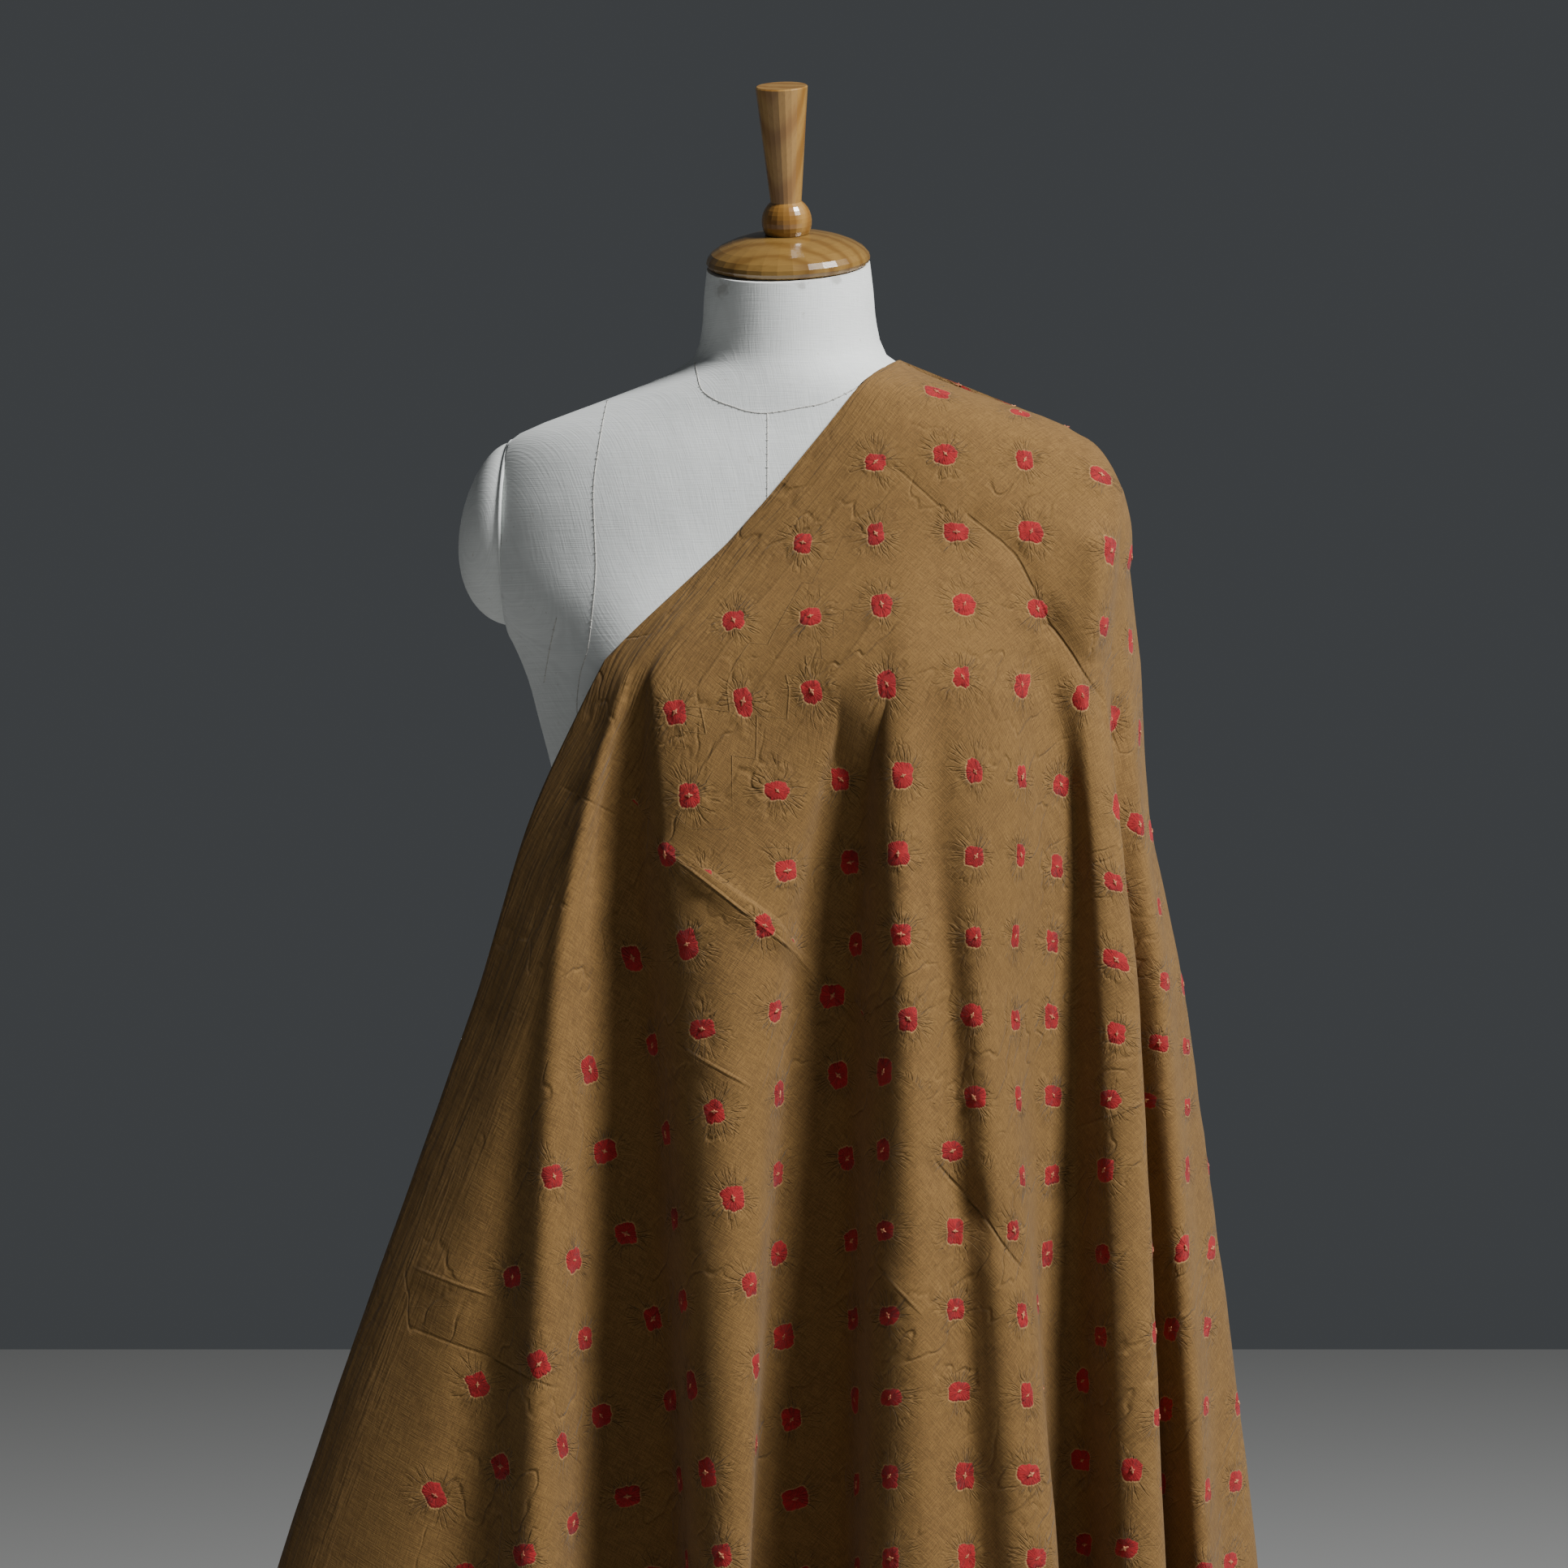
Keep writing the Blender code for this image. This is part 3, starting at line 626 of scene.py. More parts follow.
def creaseShapes(normals):  # soft heights, and the side and depth of the nearest crease
    x, z = grid[:, :, 0] / mm, grid[:, :, 2] / mm
    front = np.clip((-normals[:, :, 1] - 0.35) * 3, 0, 1)
    height, side, deep = (np.zeros(x.shape) for _ in range(3))
    nearest = np.full(x.shape, np.inf)
    for x0, z0, x1, z1, depth, half in creases:
        length = math.hypot(x1 - x0, z1 - z0)
        along = ((x - x0) * (x1 - x0) + (z - z0) * (z1 - z0)) / length**2
        held = np.clip(along, 0, 1)
        away = np.hypot(x - x0 - held * (x1 - x0), z - z0 - held * (z1 - z0))
        height -= depth * np.exp(-((away / half) ** 2)) * front
        closer = away < nearest
        nearest[closer] = away[closer]
        side[closer] = (((x - x0) * (z1 - z0) - (z - z0) * (x1 - x0)) / length)[closer]
        ends = np.exp(-((abs(along - held) * length / sharp["endFade"]) ** 2))
        deep[closer] = (depth * front * ends)[closer]
    return height * mm, side, deep


def dotCentres():  # every tied point of the lattice on the flat cloth
    made = []
    (iTurnS, jTurnS), (iTurnT, jTurnT, startT) = pattern["turnS"], pattern["turnT"]
    for i in range(-30, 60):
        for j in range(-40, 60):
            s = pattern["s0"] + pattern["pitch"] * (i + j)
            t = pattern["t0"] + pattern["pitch"] * (i - j)
            low = s > pattern["breakS"]
            t += pattern["breakT"] * low
            if t < (pattern["lowBorder"] if low else pattern["border"]):
                continue
            s += pattern["jitter"] * math.sin(iTurnS * i + jTurnS * j)
            t += pattern["jitter"] * math.sin(iTurnT * i + jTurnT * j + startT)
            made.append((s, t))
    return made


nub = dict(high=0.0011, wide=0.0058, dishDeep=0.0005, dishWide=0.015, reach=0.03)


def nubHeights():  # raised nub at every tied point inside a shallow dish
    height = np.zeros(placeS.shape)
    for s, t in dotCentres():
        near = (abs(placeS - s) < nub["reach"]) & (abs(placeT - t) < nub["reach"])
        if near.any():
            away = np.hypot(placeS[near] - s, placeT[near] - t)
            raised = nub["high"] * np.exp(-((away / nub["wide"]) ** 2))
            height[near] += raised - nub["dishDeep"] * np.exp(-((away / nub["dishWide"]) ** 2))
    return height


def unevenHeights():  # slow unevenness of a washed cotton, and low pleats along the selvedge
    height = np.zeros(placeS.shape)
    for r in range(placeS.shape[0]):
        for c in range(placeS.shape[1]):
            s, t = placeS[r, c], placeT[r, c]
            soft = noise.noise(Vector((s * 14, t * 14, 3.1)))
            ridged = 0.5 - abs(noise.noise(Vector((s * 9, t * 30, 8.7))))
            cross = 0.5 - abs(noise.noise(Vector((s * 26, t * 20, 5.2))))
            height[r, c] = 0.0007 * soft + 0.0004 * ridged + 0.0003 * cross
    wave = np.sin(placeT * 2 * math.pi / 0.0125 + 1.3 * np.sin(placeS * 9))
    return height + 0.0004 * wave * np.exp(-((placeT / 0.020) ** 2)) * np.clip(placeT / 0.006, 0, 1)


normals = gridNormals(grid)
relief, creaseSide, creaseDeep = creaseShapes(normals)
relief = relief + nubHeights() + unevenHeights()
relief *= np.clip((1.19 - grid[:, :, 2]) / 0.03, 0.25, 1)
grid = grid + normals * relief[..., None]
grid[0, outer:] = grid[0, outer]
print("cloth relief", relief.min(), relief.max())


def joinTriangles(ridge, back):  # triangles between the ridge and the back's first row, whose counts differ
    here, there = 0, 0
    triangles = []
    while here < len(ridge) - 1 or there < len(back) - 1:
        ridgeShare = (here + 1) / len(ridge)
        backShare = (there + 1) / len(back)
        if there == len(back) - 1 or (here < len(ridge) - 1 and ridgeShare <= backShare):
            triangles.append((ridge[here], ridge[here + 1], back[there]))
            here += 1
        else:
            triangles.append((ridge[here], back[there + 1], back[there]))
            there += 1
    return triangles


def clothMesh():  # the whole cloth as one sheet: front, sleeve side and back, joined over the shoulder
    rows, columns = placeS.shape
    back = sum(cells[: cloth["firstBack"]])
    number = np.arange(rows * columns).reshape(rows, columns)
    number[0, outer:] = number[0, outer]
    faces = joinTriangles(list(number[0, : outer + 1]), list(number[1, back:])[::-1])
    for r in range(rows - 1):
        last = back if r == 0 else columns - 1
        for c in range(last):
            corners = (number[r, c], number[r + 1, c], number[r + 1, c + 1], number[r, c + 1])
            faces.append(tuple(dict.fromkeys(corners)))
    points = grid.reshape(-1, 3)
    used = sorted({int(k) for face in faces for k in face})
    place = {k: n for n, k in enumerate(used)}
    mesh = bpy.data.meshes.new("clothSkin")
    mesh.from_pydata([points[k] for k in used], [], [[place[int(k)] for k in face] for face in faces])
    layer = mesh.uv_layers.new(name="flat")
    flatS, flatT = placeS.reshape(-1), placeT.reshape(-1)
    for name, values in (("creaseSide", creaseSide), ("creaseDeep", creaseDeep)):
        mesh.attributes.new(name, "FLOAT", "POINT").data.foreach_set("value", values.reshape(-1)[used])
    corner = [used[k.vertex_index] for k in mesh.loops]
    layer.data.foreach_set("uv", np.stack([flatS[corner], flatT[corner]], axis=1).reshape(-1))
    return mesh


def plainMesh(made):  # the object with its modifiers made into a plain mesh
    graph = bpy.context.evaluated_depsgraph_get()
    plain = bpy.data.meshes.new_from_object(made.evaluated_get(graph))
    made.modifiers.clear()
    made.data = plain
    return made


def thickened(made, thick):
    solid = made.modifiers.new("thickness", "SOLIDIFY")
    solid.thickness = thick
    solid.offset = 1.0
    solid.use_even_offset = False
    return plainMesh(made)


def latticeNodes(tree, s, t):  # offset in mm from the nearest tied point, and its own chances
    low = maths(tree, "GREATER_THAN", s, pattern["breakS"])
    shifted = maths(tree, "SUBTRACT", t, maths(tree, "MULTIPLY", low, pattern["breakT"]))
    q = maths(tree, "DIVIDE", maths(tree, "SUBTRACT", s, pattern["s0"]), pattern["pitch"])
    r = maths(tree, "DIVIDE", maths(tree, "SUBTRACT", shifted, pattern["t0"]), pattern["pitch"])
    i = maths(tree, "ROUND", maths(tree, "MULTIPLY", maths(tree, "ADD", q, r), 0.5))
    j = maths(tree, "ROUND", maths(tree, "MULTIPLY", maths(tree, "SUBTRACT", q, r), 0.5))
    row = maths(tree, "MULTIPLY_ADD", maths(tree, "SUBTRACT", i, j), pattern["pitch"], pattern["t0"])
    row = maths(tree, "MULTIPLY_ADD", low, pattern["breakT"], row)
    border = maths(tree, "MULTIPLY_ADD", low, pattern["lowBorder"] - pattern["border"], pattern["border"])
    shown = maths(tree, "GREATER_THAN", row, border)
    (iTurnS, jTurnS), (iTurnT, jTurnT, startT) = pattern["turnS"], pattern["turnT"]
    turnS = maths(tree, "MULTIPLY_ADD", i, iTurnS, maths(tree, "MULTIPLY", j, jTurnS))
    turnT = maths(tree, "MULTIPLY_ADD", i, iTurnT, maths(tree, "MULTIPLY_ADD", j, jTurnT, startT))
    offsets = []
    for value, whole, turn in (
        (q, maths(tree, "ADD", i, j), turnS), (r, maths(tree, "SUBTRACT", i, j), turnT),
    ):
        away = maths(tree, "MULTIPLY", maths(tree, "SUBTRACT", value, whole), pattern["pitch"] / mm)
        wobble = maths(tree, "MULTIPLY", maths(tree, "SINE", turn), pattern["jitter"] / mm)
        offsets.append(maths(tree, "SUBTRACT", away, wobble))
    chance = tree.nodes.new("ShaderNodeTexWhiteNoise")
    chance.noise_dimensions = "3D"
    put(tree, chance.inputs["Vector"], joined(tree, i, j, 0.5))
    return offsets, shown, parted(tree, chance.outputs["Color"])


spot = dict(reach=5.9, wander=5.0, corner=3.4, ringFrom=0.1, ringTo=0.5, starReach=26.0)


def cottonMaterial():  # ochre plain weave with tied red spots, each in a pale line and a star of puckers
    material, tree, shader = newMaterial("tiedCotton")
    flat = tree.nodes.new("ShaderNodeUVMap")
    flat.uv_map = "flat"
    s, t, _ = parted(tree, flat.outputs[0])
    (offS, offT), shown, (chanceX, chanceY, chanceZ) = latticeNodes(tree, s, t)
    level = maths(tree, "MULTIPLY", maths(tree, "SUBTRACT", offS, offT), math.sqrt(0.5))
    upright = maths(tree, "MULTIPLY", maths(tree, "ADD", offS, offT), math.sqrt(0.5))
    wide = maths(tree, "MULTIPLY_ADD", maths(tree, "SUBTRACT", chanceY, 0.5), 0.34, 1.0)
    powers = []
    for part in (maths(tree, "MULTIPLY", level, wide), maths(tree, "DIVIDE", upright, wide)):
        powers.append(maths(tree, "POWER", maths(tree, "ABSOLUTE", part), spot["corner"]))
    square = maths(tree, "POWER", maths(tree, "ADD", *powers), 1 / spot["corner"])
    round2 = maths(tree, "MULTIPLY_ADD", level, level, maths(tree, "MULTIPLY", upright, upright))
    away = maths(tree, "SQRT", maths(tree, "MAXIMUM", round2, 0.0001))
    dirX, dirY = maths(tree, "DIVIDE", level, away), maths(tree, "DIVIDE", upright, away)
    around = joined(tree, dirX, dirY, maths(tree, "MULTIPLY", chanceX, 40.0))
    lobes = clouds(tree, around, 1.6, 3.0)
    reach = maths(tree, "MULTIPLY_ADD", maths(tree, "SUBTRACT", lobes, 0.42), spot["wander"], spot["reach"])
    reach = maths(tree, "MULTIPLY_ADD", chanceZ, 1.3, reach)
    rim = maths(tree, "SUBTRACT", square, reach)
    inside = maths(tree, "MULTIPLY", stepped(tree, rim, 0.20, -0.20), shown)
    ringIn = stepped(tree, rim, -0.25, spot["ringFrom"])
    ringOut = stepped(tree, rim, 1.0, spot["ringTo"])
    ring = maths(tree, "MULTIPLY", maths(tree, "MULTIPLY", ringIn, ringOut), shown)
    rayPlace = joined(
        tree, maths(tree, "MULTIPLY", dirX, 2.3), maths(tree, "MULTIPLY", dirY, 2.3),
        maths(tree, "MULTIPLY_ADD", chanceX, 60.0, maths(tree, "MULTIPLY", away, 0.035)),
    )
    rays = creased(tree, clouds(tree, rayPlace, 1.7, 1.5))
    rays = stepped(tree, rays, 0.0, 0.07)
    faint = clouds(tree, scaledTo(tree, s, t, s, 75.0, 75.0), 1.0, 1.0)
    rays = maths(tree, "MULTIPLY", rays, stepped(tree, faint, 0.38, 0.62, 0.25, 1.0))
    starOut = stepped(tree, away, spot["starReach"], 6.0)
    starFade = maths(tree, "MULTIPLY", starOut, stepped(tree, away, 1.0, 5.0))
    star = maths(tree, "MULTIPLY", maths(tree, "MULTIPLY", rays, starFade), shown)
    nubRise = maths(tree, "MULTIPLY", stepped(tree, away, 6.5, 0.5), shown)
    dent = maths(tree, "MULTIPLY", stepped(tree, maths(tree, "ABSOLUTE", rim), 1.3, 0.0), shown)

    alongWay = scaledTo(tree, s, t, s, 90.0, 1700.0)
    crossWay = scaledTo(tree, s, t, s, 1700.0, 90.0, 0.3)
    threads = maths(tree, "ADD", clouds(tree, alongWay, 1.0, 2.0), clouds(tree, crossWay, 1.0, 2.0))
    grain = clouds(tree, scaledTo(tree, s, t, s, 900.0, 900.0), 1.0, 2.0)
    mottle = clouds(tree, scaledTo(tree, s, t, s, 22.0, 22.0), 1.0, 5.0, 0.6)
    ochre, ochreDark, ochrePale = (0.152, 0.078, 0.0165), (0.125, 0.062, 0.0125), (0.24, 0.130, 0.034)
    base = blended(tree, stepped(tree, mottle, 0.36, 0.66), ochre, ochreDark)
    base = blended(tree, stepped(tree, threads, 0.82, 1.22, 0.0, 0.75), base, ochrePale)
    base = blended(tree, stepped(tree, grain, 0.52, 0.30, 0.0, 0.45), base, [c * 0.5 for c in ochreDark])
    red, redDark = (0.37, 0.010, 0.012), (0.26, 0.005, 0.007)
    dyed = blended(tree, stepped(tree, mottle, 0.35, 0.7), red, redDark)
    dyed = blended(tree, stepped(tree, grain, 0.52, 0.32, 0.0, 0.4), dyed, [c * 0.5 for c in redDark])
    base = blended(tree, maths(tree, "MULTIPLY", ring, 0.6), base, (0.36, 0.21, 0.08))
    base = blended(tree, inside, base, dyed)
    put(tree, shader.inputs["Base Color"], base)
    shader.inputs["Roughness"].default_value = 0.9
    shader.inputs["Sheen Weight"].default_value = 0.06
    shader.inputs["Sheen Roughness"].default_value = 0.4

    crumple = clouds(tree, scaledTo(tree, s, t, s, 17.0, 34.0), 1.0, 2.0, 0.5)
    crumple = stepped(tree, creased(tree, crumple), 0.0, 0.03)
    patches = clouds(tree, scaledTo(tree, s, t, s, 12.0, 12.0), 1.0, 1.0)
    patches = stepped(tree, patches, 0.46, 0.62, 0.08, 1.0)
    folded = maths(tree, "MULTIPLY", crumple, patches)
    pleats = creased(tree, clouds(tree, scaledTo(tree, s, t, s, 14.0, 210.0), 1.0, 2.0))
    nearEdge = stepped(tree, t, 0.060, 0.004, 0.05, 1.0)
    breakLine = maths(tree, "SUBTRACT", s, pattern["breakS"])
    breakFold = stepped(tree, breakLine, -0.0025, 0.0010)
    breakFold = maths(tree, "MULTIPLY", breakFold, stepped(tree, breakLine, 0.016, 0.002))
    breakFold = maths(tree, "MULTIPLY", breakFold, stepped(tree, t, 0.085, 0.120))
    breakFold = maths(tree, "MULTIPLY", breakFold, stepped(tree, t, 0.225, 0.180))
    place = tree.nodes.new("ShaderNodeTexCoord").outputs["Object"]
    hem = stepped(tree, parted(tree, place)[2], 0.0725, 0.0715)
    broad = bumped(tree, folded, 0.0013, 0.6)
    broad = bumped(tree, breakFold, 0.0026, 0.8, broad)
    line = stepped(tree, maths(tree, "ABSOLUTE", carried(tree, "creaseSide")), sharp["width"], 0.0)
    line = maths(tree, "MULTIPLY", line, maths(tree, "MULTIPLY", carried(tree, "creaseDeep"), -0.35))
    broad = bumped(tree, line, sharp["deep"], 0.9, broad)
    broad = bumped(tree, maths(tree, "MULTIPLY", pleats, nearEdge), 0.0050, 0.8, broad)
    broad = bumped(tree, hem, 0.0006, 0.8, broad)
    tied = maths(tree, "MULTIPLY_ADD", nubRise, 0.6, maths(tree, "MULTIPLY", dent, -0.25))
    tied = maths(tree, "MULTIPLY_ADD", star, 0.72, tied)
    broad = bumped(tree, tied, 0.0017, 0.9, broad)
    put(tree, shader.inputs["Normal"], bumped(tree, threads, 0.0005, 0.6, broad))
    return material


cotton = cottonMaterial()
clothSheet = newObject("clothSheet", clothMesh(), cotton)

# Tied tips: the small pale cross of puckered cloth in the middle of every spot

tips = dict(seed=7, along=0.0026, across=0.0007, high=0.0006, shorter=0.62, least=0.75, most=1.25)


def tipPlaces():  # where each tied point lies on the hanging sheet, and which way it faces
    mesh = clothSheet.data
    uv = mesh.uv_layers["flat"].data
    flatPoints, flatFaces = [], []
    for face in mesh.polygons:
        flatFaces.append(range(len(flatPoints), len(flatPoints) + len(face.vertices)))
        flatPoints += [Vector((*uv[k].uv, 0.0)) for k in face.loop_indices]
    search = BVHTree.FromPolygons(flatPoints, flatFaces)
    places, facing = [], []
    for s, t in dotCentres():
        found, _, index, _ = search.ray_cast(Vector((s, t, 1.0)), Vector((0, 0, -1)))
        if found is None:
            continue
        face = mesh.polygons[index]
        flatCorners = [flatPoints[k] for k in flatFaces[index]]
        corners = [mesh.vertices[k].co for k in face.vertices]
        weights = interpolation.poly_3d_calc(flatCorners, found)
        point = sum((corner * weight for corner, weight in zip(corners, weights)), Vector())
        places.append(point + face.normal * (cloth["thick"] + 0.0001))
        facing.append(face.normal.to_track_quat("Z", "Y").to_euler())
    return places, facing


def ball(tree, size):  # a flattened ball of the given half sizes
    made = tree.nodes.new("GeometryNodeMeshIcoSphere")
    made.inputs["Subdivisions"].default_value = 2
    made.inputs["Radius"].default_value = 1.0
    shaped = tree.nodes.new("GeometryNodeTransform")
    put(tree, shaped.inputs["Geometry"], made.outputs["Mesh"])
    put(tree, shaped.inputs["Scale"], size)
    return shaped


def newTree(name, inputs):
    tree = bpy.data.node_groups.new(name, "GeometryNodeTree")
    tree.interface.new_socket("Geometry", in_out="INPUT", socket_type="NodeSocketGeometry")
    for label, kind in inputs:
        tree.interface.new_socket(label, in_out="INPUT", socket_type=kind)
    tree.interface.new_socket("Geometry", in_out="OUTPUT", socket_type="NodeSocketGeometry")
    return tree, tree.nodes.new("NodeGroupInput"), tree.nodes.new("NodeGroupOutput")


def finishedTree(tree, geometry, material, end):
    realized = tree.nodes.new("GeometryNodeRealizeInstances")
    coated = tree.nodes.new("GeometryNodeSetMaterial")
    put(tree, realized.inputs[0], geometry)
    put(tree, coated.inputs["Geometry"], realized.outputs[0])
    coated.inputs["Material"].default_value = material
    put(tree, end.inputs[0], coated.outputs["Geometry"])


def randomValue(tree, low, high, seed):
    node = tree.nodes.new("FunctionNodeRandomValue")
    node.data_type = "FLOAT"
    for socket in node.inputs:
        if socket.name == "Min" and socket.type == "VALUE":
            put(tree, socket, low)
        if socket.name == "Max" and socket.type == "VALUE":
            put(tree, socket, high)
        if socket.name == "Seed":
            put(tree, socket, seed)
    return [s for s in node.outputs if s.type == "VALUE" and s.enabled][0]


def instanced(tree, points, marks, turn, size):  # marks on points, turned about the point's own direction
    facing = tree.nodes.new("GeometryNodeInputNamedAttribute")
    facing.data_type = "FLOAT_VECTOR"
    facing.inputs["Name"].default_value = "facing"
    placed = tree.nodes.new("GeometryNodeInstanceOnPoints")
    put(tree, placed.inputs["Points"], points)
    put(tree, placed.inputs["Instance"], marks)
    put(tree, placed.inputs["Rotation"], facing.outputs["Attribute"])
    put(tree, placed.inputs["Scale"], joined(tree, size, size, size))
    turned = tree.nodes.new("GeometryNodeRotateInstances")
    put(tree, turned.inputs["Instances"], placed.outputs[0])
    put(tree, turned.inputs["Rotation"], joined(tree, 0.0, 0.0, turn))
    return turned.outputs[0]


def tipTree(material):
    tree, start, end = newTree("tiedTips", (
        ("Along", "NodeSocketFloat"), ("Across", "NodeSocketFloat"), ("High", "NodeSocketFloat"),
        ("Shorter", "NodeSocketFloat"), ("Seed", "NodeSocketInt"),
    ))
    names = ("Along", "Across", "High", "Shorter", "Seed")
    along, across, high, shorter, seed = (start.outputs[name] for name in names)
    longMark = ball(tree, joined(tree, along, across, high))
    shortMark = ball(tree, joined(tree, across, maths(tree, "MULTIPLY", along, shorter), high))
    both = tree.nodes.new("GeometryNodeJoinGeometry")
    put(tree, both.inputs[0], longMark.outputs[0])
    put(tree, both.inputs[0], shortMark.outputs[0])
    turn = randomValue(tree, 0.0, math.pi, seed)
    size = randomValue(tree, tips["least"], tips["most"], maths(tree, "ADD", seed, 1.0))
    finishedTree(tree, instanced(tree, start.outputs[0], both.outputs[0], turn, size), material, end)
    return tree


def addTree(made, tree, values):
    modifier = made.modifiers.new(tree.name, "NODES")
    modifier.node_group = tree
    for item in tree.interface.items_tree:
        if item.item_type == "SOCKET" and item.in_out == "INPUT" and item.name in values:
            modifier[item.identifier] = values[item.name]
    return plainMesh(made)


def pointObject(name, places, facing, material):
    mesh = bpy.data.meshes.new(name)
    mesh.from_pydata(places, [], [])
    layer = mesh.attributes.new("facing", "FLOAT_VECTOR", "POINT")
    layer.data.foreach_set("vector", [value for turn in facing for value in turn])
    mesh.materials.append(material)
    made = bpy.data.objects.new(name, mesh)
    bpy.context.scene.collection.objects.link(made)
    return made


def threadMaterial(name, scale, tone, dark):  # matt yarn in two tones
    material, tree, shader = newMaterial(name)
    place = tree.nodes.new("ShaderNodeTexCoord").outputs["Object"]
    shade = stepped(tree, clouds(tree, place, scale, 2.0), 0.4, 0.6)
    put(tree, shader.inputs["Base Color"], blended(tree, shade, tone, dark))
    shader.inputs["Roughness"].default_value = 0.9
    return material


tipPoints, tipFacing = tipPlaces()
tipCoat = threadMaterial("tiedTip", 700.0, (0.46, 0.22, 0.10), (0.30, 0.07, 0.04))
tiedTips = addTree(pointObject("tiedTips", tipPoints, tipFacing, tipCoat), tipTree(tipCoat), {
    "Along": tips["along"], "Across": tips["across"], "High": tips["high"],
    "Shorter": tips["shorter"], "Seed": tips["seed"],
})
tiedTips.data.shade_smooth()
print("tied tips", len(tipPoints), len(tiedTips.data.polygons))

clothSkin = thickened(clothSheet, cloth["thick"])
clothSkin.name = "clothSkin"
clothSkin.data.shade_smooth()
print("cloth triangles", sum(len(f.vertices) - 2 for f in clothSkin.data.polygons))

# Seams of the form: sewn cords with short stitches, the cords toned darker as painted groove shade, and the
# piping round the left arm plate

seams = dict(
    radius=0.0005, out=-0.0001, step=0.004, stitch=0.0045, stitchLong=0.0012, stitchWide=0.00022,
    leastTurn=-0.5, mostTurn=0.5, least=0.6, most=1.2, seed=3,
)
pipe = dict(radius=0.0013, count=120, out=0.02, reach=1.012)  # out and reach are shares of the plate
# x and z in mm of the seams' points on the front
seamLines = (
    (
        (-62, 1218), (-60, 1208), (-57, 1198), (-48, 1191), (-38, 1187), (-26, 1183),
        (-14, 1182), (6, 1185), (25, 1189), (48, 1201), (62, 1213),
    ),
    ((-14, 1182), (-14, 1146), (-14, 1100), (-13, 1060)),
    (
        (-120, 1193.5), (-125, 1160), (-128, 1133), (-127, 1105), (-126, 1080), (-128, 1052),
        (-131, 1027), (-136, 1011), (-138, 985), (-130, 950), (-120, 920),
    ),
    ((-152, 1049), (-157, 1028), (-161, 1007)),
)
torsoSearch = surfaceOf([torso])


def onFront(x, z, out):  # point on the form's front at x and z in mm, and the outward direction
    hit, normal, _, _ = torsoSearch.ray_cast(Vector((x * mm, -1.0, z * mm)), Vector((0, 1, 0)))
    return hit + normal * out, normal


def seamPoints(corners, step):
    places = [0.0]
    for here, following in zip(corners, corners[1:]):
        places.append(places[-1] + math.dist(here, following))
    count = max(2, round(places[-1] * mm / step))
    acrossX, upZ = zip(*corners)
    found = []
    for n in range(count + 1):
        at = places[-1] * n / count
        found.append(onFront(hermite(places, acrossX, at), hermite(places, upZ, at), seams["out"]))
    return found


def pipingRing():  # round the left plate, just outside its edge
    ring = []
    for k in range(pipe["count"]):
        angle = 2 * math.pi * k / pipe["count"]
        y, z = pipe["reach"] * math.cos(angle), pipe["reach"] * math.sin(angle)
        ring.append(bodyPlace @ platePoint(-1, pipe["out"], y, z))
    return ring


def seamMaterial(name, tone):
    return threadMaterial(name, 500.0, tone, [c * 0.75 for c in tone])


def stitchTree(material):
    tree, start, end = newTree("seamStitches", (
        ("Long", "NodeSocketFloat"), ("Wide", "NodeSocketFloat"), ("Seed", "NodeSocketInt"),
    ))
    length, wide, seed = (start.outputs[n] for n in ("Long", "Wide", "Seed"))
    mark = ball(tree, joined(tree, length, wide, wide))
    turn = randomValue(tree, seams["leastTurn"], seams["mostTurn"], seed)
    size = randomValue(tree, seams["least"], seams["most"], maths(tree, "ADD", seed, 1.0))
    finishedTree(tree, instanced(tree, start.outputs[0], mark.outputs[0], turn, size), material, end)
    return tree


# cord tone darker than the linen: partly the seam thread's own tone, partly painted shade of the seam
# groove
seamCoatWithPaintedGrooveShade = seamMaterial("seamCord", (0.60, 0.59, 0.55))
cordLines = [([point for point, _ in seamPoints(corners, seams["step"])], False) for corners in seamLines]
seamCords = newObject("seamCords", tubeMesh("seamCords", cordLines, seams["radius"]), seamCoatWithPaintedGrooveShade)
pipingMesh = tubeMesh("platePiping", [(pipingRing(), True)], pipe["radius"], 8)
piping = newObject("platePiping", pipingMesh, linen)
stitchCoat = seamMaterial("seamStitch", (0.80, 0.79, 0.75))
stitches = [pair for corners in seamLines for pair in seamPoints(corners, seams["stitch"])]
stitchMarks = addTree(
    pointObject(
        "seamStitches", [point + normal * seams["radius"] for point, normal in stitches],
        [normal.to_track_quat("Z", "Y").to_euler() for _, normal in stitches], stitchCoat,
    ),
    stitchTree(stitchCoat),
    {"Long": seams["stitchLong"], "Wide": seams["stitchWide"], "Seed": seams["seed"]},
)
stitchMarks.data.shade_smooth()
print("seams", len(seamCords.data.polygons), len(stitches))

# Wood of the cap, the knob and the stand


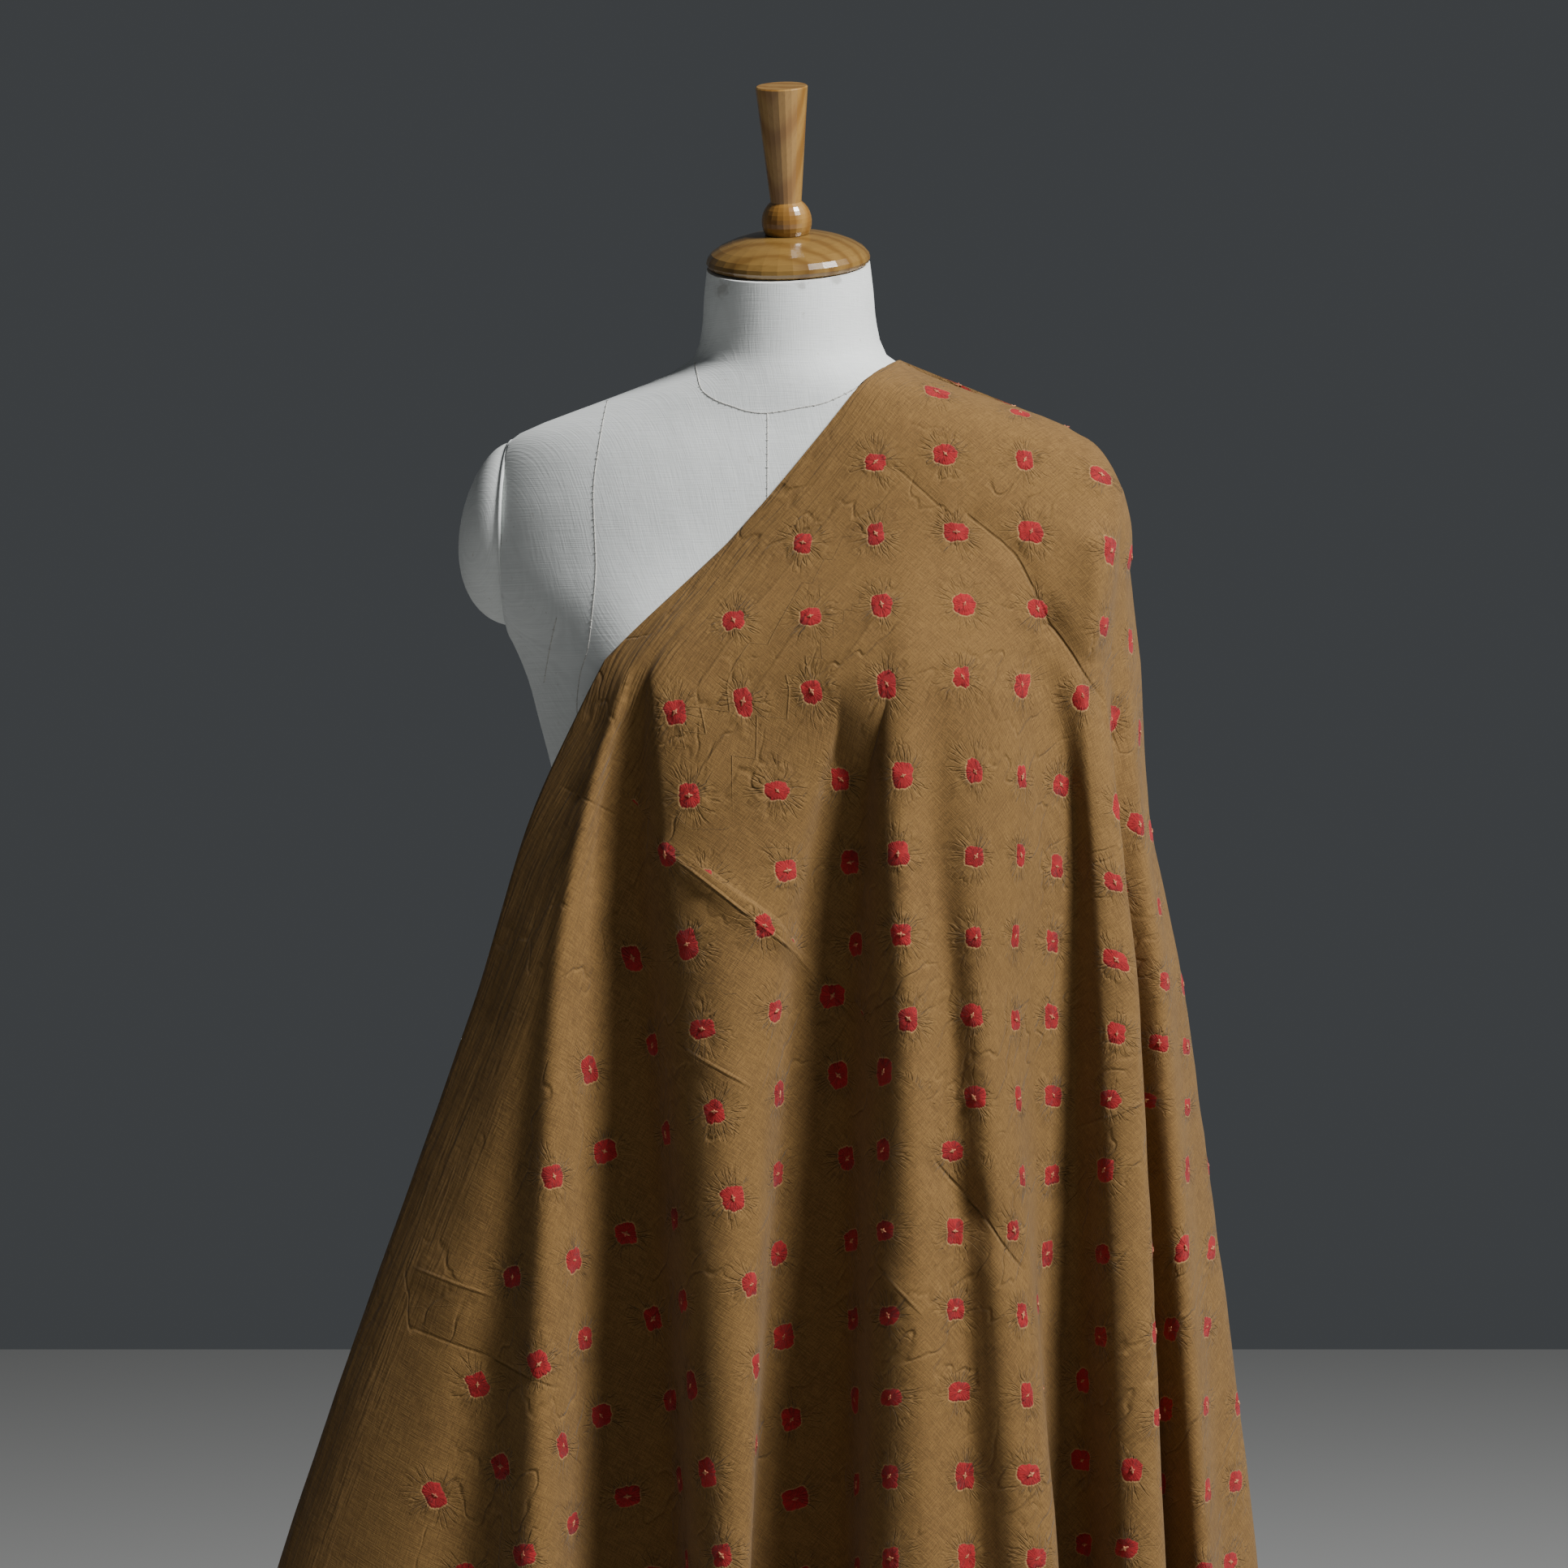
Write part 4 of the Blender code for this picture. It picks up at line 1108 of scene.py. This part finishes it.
def woodMaterial(name, pale, dark, ringScale, stretch, fibres):  # varnished honey wood
    material, tree, shader = newMaterial(name)
    place = tree.nodes.new("ShaderNodeTexCoord").outputs["Object"]
    x, y, z = parted(tree, place)
    wander = clouds(tree, scaledTo(tree, x, y, z, *stretch), 26.0, 3.0)
    across = maths(tree, "MULTIPLY", maths(tree, "MULTIPLY_ADD", x, 0.3, y), ringScale)
    grain = maths(tree, "ABSOLUTE", maths(tree, "SINE", maths(tree, "MULTIPLY_ADD", wander, 7.0, across)))
    fibre = clouds(tree, scaledTo(tree, x, y, z, *fibres), 1.0, 3.0)
    base = blended(tree, stepped(tree, grain, 0.15, 0.95), dark, pale)
    base = blended(tree, stepped(tree, fibre, 0.45, 0.75, 0.0, 0.45), base, dark)
    put(tree, shader.inputs["Base Color"], base)
    shader.inputs["Roughness"].default_value = 0.27
    shader.inputs["Coat Weight"].default_value = 0.5
    shader.inputs["Coat Roughness"].default_value = 0.12
    put(tree, shader.inputs["Normal"], bumped(tree, fibre, 0.0002, 0.25))
    return material


turnedWood = woodMaterial(
    "turnedWood", pale=(0.35, 0.195, 0.052), dark=(0.25, 0.120, 0.026), ringScale=240.0,
    stretch=(1.0, 1.0, 0.12), fibres=(700.0, 700.0, 40.0),
)
capWood = woodMaterial(
    "capWood", pale=(0.235, 0.135, 0.036), dark=(0.170, 0.088, 0.021), ringScale=260.0,
    stretch=(0.22, 1.0, 1.0), fibres=(60.0, 700.0, 700.0),
)
for name, wood in (("neck_cap", capWood), ("finial", turnedWood), ("post", turnedWood), ("base", capWood)):
    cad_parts[name].data.materials.clear()
    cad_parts[name].data.materials.append(wood)

# Bodies: the new pieces hang from the root body, and the CAD parts they replace are hidden

for made, slotName in (
    (clothSkin, "cotton"), (tiedTips, "cotton"), (torso, "linen"), (plates[0], "linen"),
    (plates[1], "linen"), (seamCords, "linen"), (stitchMarks, "linen"), (piping, "linen"),
):
    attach(made, "root")
for made, node in (
    (clothSkin, "cloth"), (torso, "torso"), (plates[0], "arm_plate_left"), (plates[1], "arm_plate_right"),
):
    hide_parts(node)

# Floor, light and camera


def makeStage():
    mesh = bpy.data.meshes.new("floor")
    mesh.from_pydata([(-6, -6, 0), (6, -6, 0), (6, 6, 0), (-6, 6, 0)], [], [(0, 1, 2, 3)])
    material, _, shader = newMaterial("paleFloor")
    shader.inputs["Base Color"].default_value = (0.44, 0.44, 0.43, 1.0)
    shader.inputs["Roughness"].default_value = 0.9
    floor = newObject("floor", mesh, material)
    floor.location.z = -0.0005


def makeLight(name, place, aim, size, energy):
    data = bpy.data.lights.new(name, "AREA")
    data.shape = "DISK"
    data.size = size
    data.energy = energy
    light = bpy.data.objects.new(name, data)
    light.location = place
    light.rotation_euler = (Vector(aim) - Vector(place)).to_track_quat("-Z", "Y").to_euler()
    bpy.context.scene.collection.objects.link(light)


makeStage()
makeLight("keyLight", (2.75, -1.85, 4.20), (0, -0.1, 0.95), 1.35, 440)
world = bpy.data.worlds.new("studio")
bpy.context.scene.world = world
world.use_nodes = True
world.node_tree.nodes["Background"].inputs["Color"].default_value = (0.052, 0.056, 0.060, 1.0)

shot = dict(away=4.0, width=1.0433, x=-0.0032, z=0.94)  # width is what the picture takes in at the post
camera = bpy.data.cameras.new("camera")
camera.lens = camera.sensor_width * shot["away"] / shot["width"]
cameraObject = bpy.data.objects.new("camera", camera)
cameraObject.location = (shot["x"], -shot["away"], shot["z"])
cameraObject.rotation_euler = (math.pi / 2, 0, 0)
bpy.context.scene.collection.objects.link(cameraObject)
bpy.context.scene.camera = cameraObject
